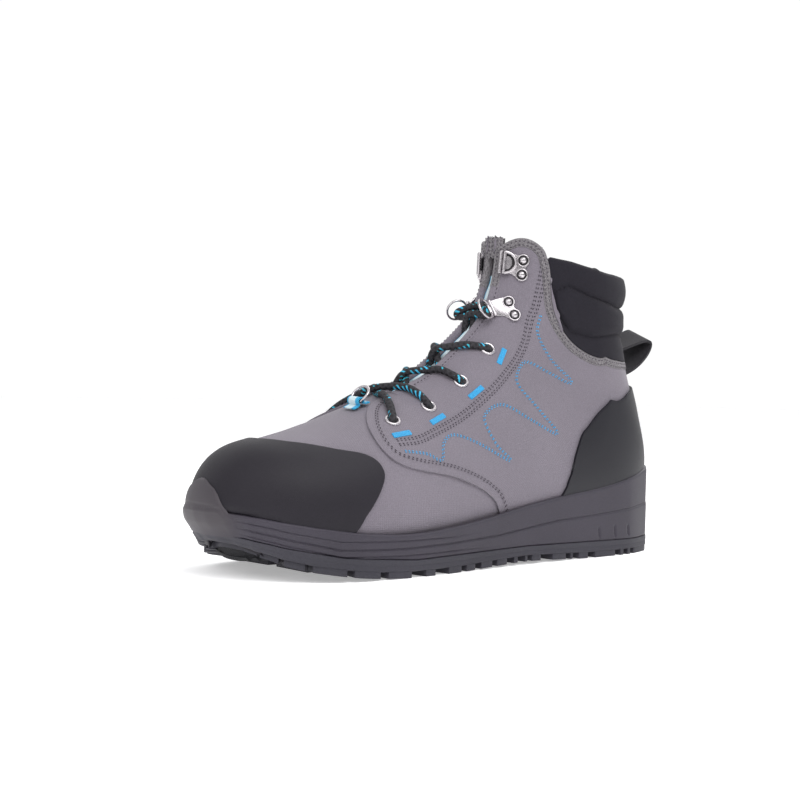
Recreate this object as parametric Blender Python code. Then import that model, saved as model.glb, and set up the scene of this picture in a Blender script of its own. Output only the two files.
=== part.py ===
"""A wading boot for the left foot, empty and laced, standing on its sole.

Metres, +Z up. The toe points along -Y and the outer side of the foot is at +X.
The origin is the centre of the heel's flat rest on the floor.
"""

import math

import bmesh
import bpy
import numpy as np
from mathutils import Matrix, Vector

# Driving sizes
LENGTH = 0.310
HEIGHT = 0.179
BALL_WIDTH = 0.098
SOLE_EDGE = 0.007
SOLE_WIDTH = BALL_WIDTH + 2.0 * SOLE_EDGE
HEEL_STACK = 0.050
TOE_SPRING = 0.014
HEEL_REST = 0.040

# Walls and the air between pieces that meet
WALL = 0.0022
GAP = 0.0003
QUARTER_STEP = 0.0012
CAP_THICKNESS = 0.0014
COUNTER_THICKNESS = 0.0013
COLLAR_INSIDE = 0.0070
COLLAR_OUTSIDE = 0.0012
COLLAR_PUFF = 0.0026
INSOLE_THICKNESS = 0.0032
TONGUE_THICKNESS = 0.0045
TONGUE_WIDTH = 0.048

# Sole
OUTSOLE_THICKNESS = 0.0085
LUG_DEPTH = 0.0036
LUG_PITCH = 0.0170
LUG_GROOVE = 0.0042
GROOVE_DEPTH = 0.0011
BUMPER_THICKNESS = 0.0028

# Hardware and laces
EYELET_FLANGE = 0.0086
EYELET_HOLE = 0.0046
EYELET_TUBE = 0.0007
EYELET_RIM = 0.0011
HOOK_SHEET = 0.0011
HOOK_LOBE = 0.0068
HOOK_LOBE_SPREAD = 0.0044
HOOK_LOBE_BACK = 0.0030
HOOK_STRIP = 0.0060
HOOK_BEND = 0.0046
RIVET_RADIUS = 0.0023
LACE_WIDTH = 0.0038
RING_WIDTH = 0.0125
RING_WIRE = 0.0018
LOOP_WIDTH = 0.0170
LOOP_REACH = 0.0215
LOOP_THICKNESS = 0.0018

# How finely the last is sampled, and places beyond the boot that cutters reach to
ROUND_COUNT = 24
BEHIND = -0.1 * LENGTH
AHEAD = 1.1 * LENGTH
SKY = 1.5 * HEIGHT

# The last, toe to collar. Each row is one slanting section of the boot: where it meets the front
# or top line, where it meets the bottom or back line, its half widths on the outer and inner side,
# the share of the way up at which it is widest, and how square its top and bottom are.
# along is a share of LENGTH from the heel's back, up of HEIGHT, out and inn of BALL_WIDTH.
SECTIONS = [
    # top_along, top_up, bottom_along, bottom_up, out, inn, widest, top_power, bottom_power
    (0.9860, 0.184, 0.9860, 0.184, 0.000, 0.000, 0.45, 2.00, 2.20),
    (0.9800, 0.254, 0.9800, 0.090, 0.155, 0.180, 0.45, 2.10, 2.30),
    (0.9600, 0.316, 0.9615, 0.056, 0.265, 0.290, 0.43, 2.20, 2.40),
    (0.9270, 0.356, 0.9300, 0.038, 0.370, 0.388, 0.42, 2.25, 2.50),
    (0.8740, 0.379, 0.8770, 0.030, 0.460, 0.458, 0.40, 2.30, 2.60),
    (0.8000, 0.411, 0.8065, 0.022, 0.515, 0.500, 0.38, 2.20, 2.60),
    (0.7161, 0.461, 0.7226, 0.022, 0.520, 0.474, 0.36, 2.10, 2.60),
    (0.6355, 0.514, 0.6065, 0.034, 0.490, 0.424, 0.34, 2.00, 2.60),
    (0.5548, 0.575, 0.4774, 0.050, 0.444, 0.383, 0.33, 2.00, 2.50),
    (0.4839, 0.662, 0.3226, 0.067, 0.418, 0.372, 0.34, 2.00, 2.40),
    (0.4387, 0.732, 0.1806, 0.067, 0.398, 0.383, 0.36, 1.85, 2.55),
    (0.4097, 0.793, 0.0774, 0.089, 0.388, 0.383, 0.40, 1.75, 2.60),
    (0.3919, 0.860, 0.0258, 0.223, 0.378, 0.378, 0.45, 1.70, 2.50),
    (0.3839, 0.911, 0.0371, 0.380, 0.367, 0.367, 0.48, 1.65, 2.30),
    (0.3806, 0.955, 0.0565, 0.503, 0.362, 0.362, 0.50, 1.60, 2.10),
    (0.3790, 1.000, 0.0790, 0.615, 0.367, 0.367, 0.50, 1.60, 2.10),
    (0.3774, 1.045, 0.0887, 0.715, 0.372, 0.372, 0.50, 1.60, 2.10),
    (0.3774, 1.095, 0.0855, 0.816, 0.378, 0.378, 0.50, 1.60, 2.10),
    (0.3774, 1.145, 0.0839, 0.922, 0.378, 0.378, 0.50, 1.60, 2.10),
    (0.3774, 1.201, 0.0871, 1.034, 0.378, 0.378, 0.50, 1.60, 2.10),
]
SECTION = np.array(SECTIONS)
LAST_SECTION = len(SECTIONS) - 1

# The sole, heel to toe: half widths as shares of SOLE_WIDTH, the height of its top edge and of the
# footbed as shares of HEEL_STACK, and of its underside as a share of TOE_SPRING.
SOLE = [
    # along, out, inn, top, floor, under
    (0.000, 0.040, 0.040, 1.030, 0.50, 0.28),
    (0.008, 0.125, 0.125, 1.030, 0.50, 0.22),
    (0.025, 0.205, 0.203, 1.020, 0.50, 0.10),
    (0.058, 0.287, 0.283, 0.985, 0.50, 0.00),
    (0.129, 0.352, 0.347, 0.890, 0.48, 0.00),
    (0.226, 0.370, 0.352, 0.792, 0.47, 0.00),
    (0.323, 0.383, 0.345, 0.722, 0.45, 0.06),
    (0.419, 0.399, 0.347, 0.640, 0.43, 0.12),
    (0.516, 0.426, 0.361, 0.545, 0.39, 0.06),
    (0.613, 0.460, 0.399, 0.475, 0.34, 0.00),
    (0.710, 0.485, 0.437, 0.440, 0.30, 0.00),
    (0.806, 0.478, 0.463, 0.470, 0.29, 0.12),
    (0.887, 0.420, 0.435, 0.540, 0.34, 0.36),
    (0.940, 0.345, 0.364, 0.595, 0.41, 0.62),
    (0.974, 0.240, 0.277, 0.640, 0.47, 0.83),
    (0.991, 0.140, 0.190, 0.660, 0.50, 0.94),
    (1.000, 0.015, 0.080, 0.665, 0.52, 1.00),
]
SOLE_TABLE = np.array(SOLE)

# Where the outsole meets the midsole: along as a share of LENGTH, up of OUTSOLE_THICKNESS
SPLIT_LINE = np.array([
    (0.0, 1.15), (0.10, 1.03), (0.42, 1.17), (0.70, 1.03), (0.84, 1.40), (0.93, 1.98), (1.0, 2.60),
])

# The sole's side: grooves at shares of its height, each fading out towards the heel
SIDE_GROOVES = [
    # height, half_height, fade_from, fade_to
    (0.36, 0.028, 0.50, 0.34),
    (0.57, 0.028, 0.58, 0.42),
    (0.78, 0.026, -0.20, -0.30),
]

# Side view outlines: along as a share of LENGTH, up as a share of HEIGHT
CAP_EDGE = [(0.905, 0.56), (0.892, 0.381), (0.838, 0.342), (0.778, 0.308), (0.752, 0.282), (0.765, 0.235),
            (0.815, 0.140)]
COUNTER_EDGE = [(0.060, 0.555), (0.130, 0.524), (0.210, 0.476), (0.265, 0.400), (0.294, 0.312),
                (0.320, 0.200)]
QUARTER_EDGE = [(0.668, 0.520), (0.694, 0.486), (0.719, 0.448), (0.726, 0.390), (0.672, 0.356),
                (0.589, 0.317), (0.533, 0.256), (0.499, 0.202), (0.481, 0.158)]
EAR_EDGE = [(0.420, 0.950), (0.384, 0.955), (0.377, 0.985), (0.367, 1.000), (0.350, 1.000), (0.336, 0.986),
            (0.325, 0.966), (0.317, 0.915), (0.313, 0.812), (0.298, 0.725), (0.270, 0.663), (0.215, 0.631),
            (0.150, 0.627), (0.085, 0.629)]
COLLAR_TOP = [(0.325, 0.966), (0.278, 0.946), (0.205, 0.916), (0.140, 0.912), (0.085, 0.915)]

# The slit between the two facings: half its width, up the front line by section number
THROAT = [
    # section, half_width
    (6.55, 0.0080),
    (7.30, 0.0078),
    (8.30, 0.0066),
    (9.40, 0.0052),
    (11.0, 0.0036),
    (13.0, 0.0026),
    (19.0, 0.0022),
]

EYELETS = [(0.691, 0.437), (0.608, 0.479), (0.523, 0.554), (0.446, 0.652)]
HOOKS = [("lower", 0.378, 0.780), ("upper", 0.356, 0.914)]

COLOURS = {
    "cloth": ((0.279, 0.247, 0.301), 0.75, 0.0),
    "cap": ((0.050, 0.045, 0.058), 0.55, 0.0),
    "rubber": ((0.078, 0.070, 0.092), 0.60, 0.0),
    "counter": ((0.041, 0.040, 0.050), 0.50, 0.0),
    "neoprene": ((0.036, 0.035, 0.042), 0.80, 0.0),
    "lace": ((0.015, 0.015, 0.018), 0.80, 0.0),
    "steel": ((0.620, 0.600, 0.620), 0.25, 1.0),
    "webbing": ((0.022, 0.020, 0.026), 0.85, 0.0),
    "tab": ((0.062, 0.450, 0.830), 0.70, 0.0),
    "insole": ((0.030, 0.030, 0.034), 0.90, 0.0),
}


def clear_scene():
    for old in list(bpy.data.objects):
        bpy.data.objects.remove(old, do_unlink=True)


def collection(name, hidden=False):
    made = bpy.data.collections.new(name)
    bpy.context.scene.collection.children.link(made)
    made.hide_render = hidden
    return made


clear_scene()
BOOT = collection("wading_boot")
CUTTERS = collection("cutters", hidden=True)


def material(name):
    found = bpy.data.materials.get(name)
    if found:
        return found
    colour, roughness, metallic = COLOURS[name]
    made = bpy.data.materials.new(name)
    made.use_nodes = True
    shader = made.node_tree.nodes["Principled BSDF"]
    shader.inputs["Base Color"].default_value = (*colour, 1.0)
    shader.inputs["Roughness"].default_value = roughness
    shader.inputs["Metallic"].default_value = metallic
    return made


def place(shape, name, finish=None):
    """A bmesh as an object: a piece of the boot if it has a finish, and otherwise a cutter."""
    bmesh.ops.recalc_face_normals(shape, faces=shape.faces)
    mesh = bpy.data.meshes.new(name)
    shape.to_mesh(mesh)
    shape.free()
    made = bpy.data.objects.new(name, mesh)
    if finish:
        mesh.materials.append(material(finish))
        BOOT.objects.link(made)
    else:
        made.hide_render = True
        made.display_type = "WIRE"
        CUTTERS.objects.link(made)
    return made


def boolean(target, tool, operation):
    """Applies one exact Boolean and keeps the result as the target's own mesh."""
    step = target.modifiers.new(tool.name, "BOOLEAN")
    step.operation = operation
    step.object = tool
    step.solver = "EXACT"
    bpy.context.view_layer.update()
    result = bpy.data.meshes.new_from_object(target.evaluated_get(bpy.context.evaluated_depsgraph_get()))
    target.modifiers.clear()
    target.data = result
    return target


def cut(target, *tools):
    for tool in tools:
        boolean(target, tool, "DIFFERENCE")
    return target


def keep(target, *tools):
    for tool in tools:
        boolean(target, tool, "INTERSECT")
    return target


def join(target, *tools):
    for tool in tools:
        boolean(target, tool, "UNION")
        if tool.name in BOOT.objects:
            bpy.data.objects.remove(tool, do_unlink=True)
    return target


def smooth_rows(table, place_in_table, mirrored=False):
    """Rows read between the table's own rows on a Catmull-Rom curve."""
    last = len(table) - 1
    at = np.clip(np.atleast_1d(np.asarray(place_in_table, float)), 0.0, last)
    first = np.minimum(np.floor(at).astype(int), last - 1)
    share = (at - first)[:, None]

    def row(index):
        rows = table[np.clip(np.abs(index), 0, last)].copy()
        before = index < 0
        if mirrored:
            rows[before, 0:4] = rows[before][:, [2, 3, 0, 1]]
            rows[before, 4:6] *= -1.0
        else:
            rows[before] = 2.0 * table[0] - table[1]
        rows[index > last] = 2.0 * table[last] - table[last - 1]
        return rows

    a, b, c, d = row(first - 1), row(first), row(first + 1), row(first + 2)
    bend = 2.0 * a - 5.0 * b + 4.0 * c - d
    twist = -a + 3.0 * b - 3.0 * c + d
    return 0.5 * (2.0 * b + (c - a) * share + bend * share**2 + twist * share**3)


def last_point(section, angle):
    """A point on the last, for a section number and an angle round it: 0 outer side, 90 top or front."""
    section, angle = np.broadcast_arrays(np.asarray(section, float), np.asarray(angle, float))
    rows = smooth_rows(SECTION, section.ravel(), mirrored=True)
    turn = angle.ravel()
    scale = np.array([LENGTH, HEIGHT])
    top = rows[:, 0:2] * scale
    bottom = rows[:, 2:4] * scale
    middle = bottom + rows[:, 6:7] * (top - bottom)
    upward = np.sin(turn) >= 0.0
    power = np.where(upward, rows[:, 7], rows[:, 8])
    rise = np.abs(np.sin(turn)) ** (2.0 / power)
    side = np.sign(np.cos(turn)) * np.abs(np.cos(turn)) ** (2.0 / power)
    end = np.where(upward[:, None], top, bottom)
    along_up = middle + (end - middle) * rise[:, None]
    half = np.where(np.cos(turn) >= 0.0, rows[:, 4], rows[:, 5]) * BALL_WIDTH
    point = np.stack([half * side, HEEL_REST - along_up[:, 0], along_up[:, 1]], axis=1)
    return point.reshape(section.shape + (3,))


def last_normal(section, angle, step=1e-3):
    section = np.clip(np.asarray(section, float), 20 * step, LAST_SECTION - 20 * step)
    along = last_point(section + step, angle) - last_point(section - step, angle)
    around = last_point(section, angle + step) - last_point(section, angle - step)
    normal = np.cross(along, around)
    return normal / np.maximum(np.linalg.norm(normal, axis=-1, keepdims=True), 1e-12)


def sole_row(along):
    """The sole's sizes in metres at a distance from the heel's back: out, inn, top, floor, under."""
    share = np.clip(np.atleast_1d(np.asarray(along, float)) / LENGTH, 0.0, 1.0)
    at = np.interp(share, SOLE_TABLE[:, 0], np.arange(len(SOLE_TABLE)))
    rows = np.maximum(smooth_rows(SOLE_TABLE, at)[:, 1:], 0.0)
    return rows * np.array([SOLE_WIDTH, SOLE_WIDTH, HEEL_STACK, HEEL_STACK, TOE_SPRING])


def sole_top(along):
    return sole_row(along)[:, 2]


def footbed(along):
    return sole_row(along)[:, 3]


FRONT_RINGS = np.concatenate([[0.3, 0.7], np.arange(1.2, 12.0, 0.72)])
RINGS = np.concatenate([FRONT_RINGS, np.arange(12.3, LAST_SECTION, 0.9), [LAST_SECTION]])


def form(name, offset, finish=None, rings=RINGS):
    """The closed last grown or shrunk by an offset, which may be a function of along and up."""
    turns = np.arange(ROUND_COUNT) * 2.0 * math.pi / ROUND_COUNT
    sections, angles = np.meshgrid(rings, turns, indexing="ij")
    points = last_point(sections, angles)
    growth = offset(HEEL_REST - points[..., 1], points[..., 2])[..., None] if callable(offset) else offset
    points = points + growth * last_normal(sections, angles)
    toe = last_point(0.0, 0.0)
    toe_growth = 0.0 if callable(offset) else offset
    toe = toe + np.array([0.0, -toe_growth, 0.0])
    shape = bmesh.new()
    grid = [[shape.verts.new(point) for point in ring] for ring in points]
    tip = shape.verts.new(toe)
    for here, after in zip(grid, grid[1:]):
        for index in range(ROUND_COUNT):
            following = (index + 1) % ROUND_COUNT
            shape.faces.new((here[index], here[following], after[following]))
            shape.faces.new((here[index], after[following], after[index]))
    for index in range(ROUND_COUNT):
        shape.faces.new((tip, grid[0][(index + 1) % ROUND_COUNT], grid[0][index]))
    shape.faces.new(grid[-1])
    return place(shape, name, finish)


def side_point(share):
    """A side view outline's point, from shares of the length and height to along and up in metres."""
    return share[0] * LENGTH, share[1] * HEIGHT


def eased(outline, steps=3):
    """An outline in metres with a smooth curve through its points."""
    points = np.array([side_point(share) for share in outline])
    at = np.linspace(0.0, len(points) - 1.0, (len(points) - 1) * steps + 1)
    return [tuple(row) for row in smooth_rows(points, at)]


def side_prism(name, outline, half_width=0.09):
    """A side view outline in metres, as wide as the boot and more."""
    shape = bmesh.new()
    low = [shape.verts.new((-half_width, HEEL_REST - along, up)) for along, up in outline]
    face = shape.faces.new(low)
    grown = bmesh.ops.extrude_face_region(shape, geom=[face])
    moved = [item for item in grown["geom"] if isinstance(item, bmesh.types.BMVert)]
    bmesh.ops.translate(shape, verts=moved, vec=(2.0 * half_width, 0.0, 0.0))
    return place(shape, name)


def sole_line(start, end, lift, count=18):
    """Points along the sole's top edge, from one distance to another, raised by a little."""
    stops = np.linspace(start, end, count)
    return [(stop, float(sole_top(stop)[0]) + lift) for stop in stops]


def locate(along, up, outer=True):
    """The section and angle of the last at a side view place, by halving."""
    low, high = 0.05, LAST_SECTION - 0.05

    def beyond(section):
        rows = smooth_rows(SECTION, section, mirrored=True)[0]
        top = rows[0:2] * (LENGTH, HEIGHT)
        bottom = rows[2:4] * (LENGTH, HEIGHT)
        line = top - bottom
        return line[0] * (up - bottom[1]) - line[1] * (along - bottom[0])

    sign = beyond(low) > 0.0
    for _ in range(40):
        middle = 0.5 * (low + high)
        if (beyond(middle) > 0.0) == sign:
            low = middle
        else:
            high = middle
    section = 0.5 * (low + high)
    rows = smooth_rows(SECTION, section, mirrored=True)[0]
    top = rows[0:2] * (LENGTH, HEIGHT)
    bottom = rows[2:4] * (LENGTH, HEIGHT)
    share = np.dot((along, up) - bottom, top - bottom) / np.dot(top - bottom, top - bottom)
    if share >= rows[6]:
        rise = min((share - rows[6]) / (1.0 - rows[6]), 0.999) ** (rows[7] / 2.0)
    else:
        rise = -(min((rows[6] - share) / rows[6], 0.999) ** (rows[8] / 2.0))
    angle = math.asin(rise)
    return section, angle if outer else math.pi - angle


def seat(along, up, outer, lift):
    """The place and the outward, upward and forward directions of something seated on the upper."""
    section, angle = locate(along, up, outer)
    normal = last_normal(section, angle)
    centre = Vector(last_point(section, angle) + lift * normal)
    outward = Vector(normal)
    rising = Vector(last_point(section, angle + 0.02) - last_point(section, angle - 0.02)).normalized()
    if not outer:
        rising = -rising
    forward = outward.cross(rising).normalized()
    return Matrix.Translation(centre) @ Matrix((forward, rising, outward)).transposed().to_4x4()


def loft(shape, rings, closed=False):
    """Quads between rings of points, with a face at each end unless the rings close on themselves."""
    made = [[shape.verts.new(point) for point in ring] for ring in rings]
    count = len(made[0])
    pairs = list(zip(made, made[1:]))
    if closed:
        pairs.append((made[-1], made[0]))
    for here, after in pairs:
        for index in range(count):
            following = (index + 1) % count
            shape.faces.new((here[index], here[following], after[following], after[index]))
    if not closed:
        shape.faces.new(made[0])
        shape.faces.new(made[-1])


def lathe(name, profile, matrix, finish, count=12):
    """A closed profile of radius and height turned round Z, then placed."""
    shape = bmesh.new()
    rings = []
    for index in range(count):
        turn = 2.0 * math.pi * index / count
        rings.append([matrix @ Vector((r * math.cos(turn), r * math.sin(turn), z)) for r, z in profile])
    loft(shape, rings, closed=True)
    return place(shape, name, finish)


def tube(name, points, width, finish, matrix=None, resolution=2):
    """A round cord or wire through its points, as a welded mesh."""
    curve = bpy.data.curves.new(name, "CURVE")
    curve.dimensions = "3D"
    curve.bevel_depth = width / 2.0
    curve.bevel_resolution = resolution
    curve.use_fill_caps = True
    spline = curve.splines.new("POLY")
    spline.points.add(len(points) - 1)
    for point, at in zip(spline.points, points):
        point.co = (*((matrix @ Vector(at)) if matrix else Vector(at)), 1.0)
    guide = bpy.data.objects.new(name + "_guide", curve)
    CUTTERS.objects.link(guide)
    bpy.context.view_layer.update()
    mesh = bpy.data.meshes.new_from_object(guide.evaluated_get(bpy.context.evaluated_depsgraph_get()))
    bpy.data.objects.remove(guide, do_unlink=True)
    shape = bmesh.new()
    shape.from_mesh(mesh)
    bmesh.ops.remove_doubles(shape, verts=shape.verts, dist=1e-5)
    bpy.data.meshes.remove(mesh)
    return place(shape, name, finish)


# Sole


def groove_inset(along, share):
    """How far the side of the sole steps in at a share of its height."""
    inset = 0.0
    for height, half_height, fade_from, fade_to in SIDE_GROOVES:
        if abs(share - height) < 0.5 * half_height:
            fade = np.clip((along / LENGTH - fade_to) / (fade_from - fade_to), 0.0, 1.0)
            inset = GROOVE_DEPTH * fade
    return inset


def sole_stations():
    even = LENGTH * (1.0 - np.cos(np.linspace(0.0, math.pi, 29))) / 2.0
    return np.unique(np.round(np.concatenate([even, SPLIT_LINE[:, 0] * LENGTH]), 7))


def split_height(along):
    """Where the outsole ends and the midsole begins: straight runs, so that the two lie flat."""
    return float(np.interp(along / LENGTH, SPLIT_LINE[:, 0], SPLIT_LINE[:, 1])) * OUTSOLE_THICKNESS


def build_midsole():
    levels = [0.0]
    for height, half_height, _, _ in SIDE_GROOVES:
        levels += [height - half_height, height, height + half_height]
    levels += [0.93, 1.0]
    rings = []
    for along in sole_stations():
        out, inn, top = sole_row(along)[0, :3]
        low = split_height(along) + GAP
        ring = []
        for side, half in ((1.0, out), (-1.0, inn)):
            wall = []
            for share in levels:
                inset = groove_inset(along, share) + (0.0012 if share == 1.0 else 0.0)
                inset += 0.0006 * (1.0 - share)
                x = side * max(half - inset, 0.0004)
                wall.append((x, HEEL_REST - along, low + share * (top - low)))
            ring += wall if side > 0.0 else wall[::-1]
        rings.append(ring)
    shape = bmesh.new()
    loft(shape, rings)
    midsole = place(shape, "midsole", "rubber")
    bumper = form("bumper", GAP + BUMPER_THICKNESS)
    keep(bumper, bumper_prism("bumper_region", 0.0))
    join(midsole, bumper)
    return cut(midsole, keep(form("footwell", GAP), slab("over_footbed", 0.0, SKY)))


def bumper_prism(name, margin):
    """The raised part of the sole in front of the toe, as a front view outline along the boot."""
    top = 0.275 * HEIGHT + margin
    low = 0.160 * HEIGHT
    middle = -0.035 * BALL_WIDTH
    outline = [
        (middle - 0.27 * BALL_WIDTH - margin, low),
        (middle + 0.27 * BALL_WIDTH + margin, low),
        (middle + 0.14 * BALL_WIDTH + margin, 0.80 * top),
        (middle + 0.09 * BALL_WIDTH + margin, top),
        (middle - 0.09 * BALL_WIDTH - margin, top),
        (middle - 0.14 * BALL_WIDTH - margin, 0.80 * top),
    ]
    shape = bmesh.new()
    rings = [[(x, HEEL_REST - along, up) for x, up in outline] for along in (0.94 * LENGTH, 1.04 * LENGTH)]
    loft(shape, rings)
    return place(shape, name)


# Two lengthwise channels under the sole: place across as a share of its half width, and if it is cut there
CHANNELS = [(-0.52, 0), (-0.50, 1), (-0.34, 1), (-0.32, 0), (0.32, 0), (0.34, 1), (0.50, 1), (0.52, 0)]


def build_outsole():
    """A slab with lugs: grooves run across it at each pitch and along it on both sides of its middle."""
    stops = [0.0, 0.004]
    count = int(LENGTH / LUG_PITCH)
    for index in range(1, count + 1):
        middle = index * LENGTH / (count + 1)
        half = 0.5 * LUG_GROOVE
        stops += [middle - half - 0.0004, middle - half, middle + half, middle + half + 0.0004]
    stops += [LENGTH - 0.004, LENGTH]
    grooves = [(stops[index], stops[index + 1]) for index in range(3, len(stops) - 3, 4)]
    kinks = [share * LENGTH for share in SPLIT_LINE[1:-1, 0]]
    stops = sorted(stops + [kink for kink in kinks if min(abs(kink - stop) for stop in stops) > 1e-6])
    rings = []
    for along in stops:
        out, inn, _, _, under = sole_row(along)[0]
        in_groove = any(start - 1e-7 <= along <= end + 1e-7 for start, end in grooves)
        depth = LUG_DEPTH if in_groove else 0.0
        top = split_height(along)
        inset = 0.0010
        ring = [(-inn + inset * 0.6, top), (-inn + inset, under + depth)]
        for share, channel in CHANNELS:
            half = inn if share < 0.0 else out
            raised = LUG_DEPTH + 0.0002 if channel else depth
            ring.append((share * half, under + raised))
        ring += [(out - inset, under + depth), (out - inset * 0.6, top)]
        rings.append([(x, HEEL_REST - along, up) for x, up in ring])
    shape = bmesh.new()
    loft(shape, rings)
    return place(shape, "outsole", "rubber")


def slab(name, low, high):
    """A slab that follows the footbed, between two heights above it, wider than the boot."""
    rings = []
    for along in np.linspace(-0.04 * LENGTH, 1.04 * LENGTH, 16):
        level = float(footbed(along)[0])
        y = HEEL_REST - along
        corners = ((-SOLE_WIDTH, low), (SOLE_WIDTH, low), (SOLE_WIDTH, high), (-SOLE_WIDTH, high))
        rings.append([(x, y, level + up) for x, up in corners])
    shape = bmesh.new()
    loft(shape, rings)
    return place(shape, name)


def build_insole():
    insole = form("insole", -WALL - GAP, finish="insole")
    return keep(insole, slab("insole_slab", GAP, INSOLE_THICKNESS + GAP))


# Upper


def above_sole(name, edge, far, ceiling=None, lift=2.0 * GAP):
    """A side view region between an edge and a far end, down to the sole's top line."""
    points = eased(edge)
    top = points[0][1] if ceiling is None else ceiling
    outline = points + sole_line(points[-1][0], far, lift) + [(far, top)]
    if ceiling is not None:
        outline.append((points[0][0], ceiling))
    kept = [outline[0]]
    for point in outline[1:]:
        if point[1] >= float(sole_top(point[0])[0]) + lift - 1e-6:
            kept.append(point)
    return side_prism(name, kept)


def throat_cutter():
    """A blade up the front line, as wide as the slit between the facings."""
    stops = np.array(THROAT)
    rings = []
    for section in np.linspace(stops[0, 0], LAST_SECTION - 0.1, 22):
        half = np.interp(section, stops[:, 0], stops[:, 1])
        middle = last_point(section, math.pi / 2.0)
        outward = last_normal(section, math.pi / 2.0) * 0.012
        outward[0] = 0.0
        low, high = middle - outward, middle + outward
        rings.append([(-half, *low[1:]), (half, *low[1:]), (half, *high[1:]), (-half, *high[1:])])
    shape = bmesh.new()
    loft(shape, rings)
    return place(shape, "throat")


def build_upper():
    upper = form("upper", 0.0, finish="cloth")
    keep(upper, slab("over_sole", GAP, SKY))
    quarter = form("quarter", QUARTER_STEP)
    keep(quarter, above_sole("quarter_region", QUARTER_EDGE, BEHIND, SKY))
    join(upper, quarter)
    cut(upper, form("room", -WALL))
    ears = eased(EAR_EDGE, 2)
    over = [(0.5 * LENGTH, ears[1][1]), (0.5 * LENGTH, SKY), (BEHIND, SKY), (BEHIND, ears[-1][1])]
    cut(upper, side_prism("above_upper", ears[1:][::-1] + over))
    cut(upper, throat_cutter())
    for along, up in EYELETS:
        for outer in (True, False):
            matrix = seat(along * LENGTH, up * HEIGHT, outer, 0.0)
            radius = EYELET_HOLE / 2.0 + EYELET_TUBE + GAP
            cut(upper, lathe_pin("eyelet_bore", matrix, radius, 0.006))
    return upper


def lathe_pin(name, matrix, radius, reach, count=12):
    shape = bmesh.new()
    size = {"radius1": radius, "radius2": radius, "depth": 2.0 * reach}
    bmesh.ops.create_cone(shape, cap_ends=True, segments=count, matrix=matrix, **size)
    return place(shape, name)


def build_toe_cap():
    cap = form("toe_cap", GAP + CAP_THICKNESS, finish="cap")
    keep(cap, above_sole("cap_region", CAP_EDGE, AHEAD))
    return cut(cap, form("cap_inside", GAP), bumper_prism("cap_bumper", GAP))


def build_counter():
    counter = form("heel_counter", QUARTER_STEP + GAP + COUNTER_THICKNESS, finish="counter")
    keep(counter, above_sole("counter_region", COUNTER_EDGE, BEHIND))
    return cut(counter, form("counter_inside", QUARTER_STEP + GAP))


def pad_height(along, up):
    """How far the collar swells: a wide roll at its top and a rounded pad under it."""
    share = up / HEIGHT
    back = along / LENGTH
    upper_roll = np.exp(-(((share - 0.868) / 0.042) ** 4)) * np.clip((0.315 - back) / 0.10, 0.0, 1.0)
    pad = np.exp(-(((share - 0.758) / 0.046) ** 4)) * np.clip((0.312 - back) / 0.03, 0.0, 1.0)
    return COLLAR_OUTSIDE + COLLAR_PUFF * np.maximum(upper_roll * 0.85, pad)


COLLAR_RINGS = np.concatenate([
    [0.25, 1.0], np.arange(2.0, 11.0, 1.0), np.arange(11.0, 17.5, 0.5), [LAST_SECTION],
])


def build_collar():
    collar = form("collar", pad_height, finish="neoprene", rings=COLLAR_RINGS)
    ears = eased(EAR_EDGE, 2)
    start = next(index for index, point in enumerate(ears) if point[1] <= 0.967 * HEIGHT and index > 8)
    lower = [(along - GAP * 0.9, up + GAP * 0.9) for along, up in ears[start:]]
    low_back = (-0.05 * LENGTH, lower[-1][1])
    high_back = (-0.05 * LENGTH, COLLAR_TOP[-1][1] * HEIGHT)
    top = eased(COLLAR_TOP, 2)
    outline = lower + [low_back, high_back] + top[::-1][:-1]
    keep(collar, side_prism("collar_region", outline))
    return cut(collar, form("collar_room", -COLLAR_INSIDE, rings=COLLAR_RINGS))


def build_tongue():
    """A padded leaf under the facings, from ahead of the slit's foot up to behind the ears."""
    tongue = form("tongue", -WALL - 2.0 * GAP, finish="cloth")
    top_up = 0.950 * HEIGHT
    outline = [(0.735 * LENGTH, 0.36 * HEIGHT), (0.735 * LENGTH, 0.60 * HEIGHT), (0.46 * LENGTH, top_up)]
    outline += [(0.345 * LENGTH, top_up), (0.345 * LENGTH, 0.79 * HEIGHT), (0.385 * LENGTH, 0.66 * HEIGHT)]
    outline += [(0.48 * LENGTH, 0.50 * HEIGHT), (0.60 * LENGTH, 0.40 * HEIGHT)]
    keep(tongue, side_prism("tongue_region", outline, TONGUE_WIDTH / 2.0))
    return cut(tongue, form("tongue_back", -WALL - 2.0 * GAP - TONGUE_THICKNESS))


# Hardware


def build_eyelet(number, side, along, up):
    matrix = seat(along, up, side == "out", QUARTER_STEP + GAP)
    hole = EYELET_HOLE / 2.0
    flange = EYELET_FLANGE / 2.0
    foot = -QUARTER_STEP - WALL
    profile = [
        (hole, foot),
        (hole + EYELET_TUBE, foot),
        (hole + EYELET_TUBE, 0.0002),
        (flange, 0.0002),
        (0.5 * (hole + flange), EYELET_RIM),
        (hole, 0.5 * EYELET_RIM),
    ]
    return lathe(f"eyelet_{side}_{number}", profile, matrix, "steel")


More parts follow.
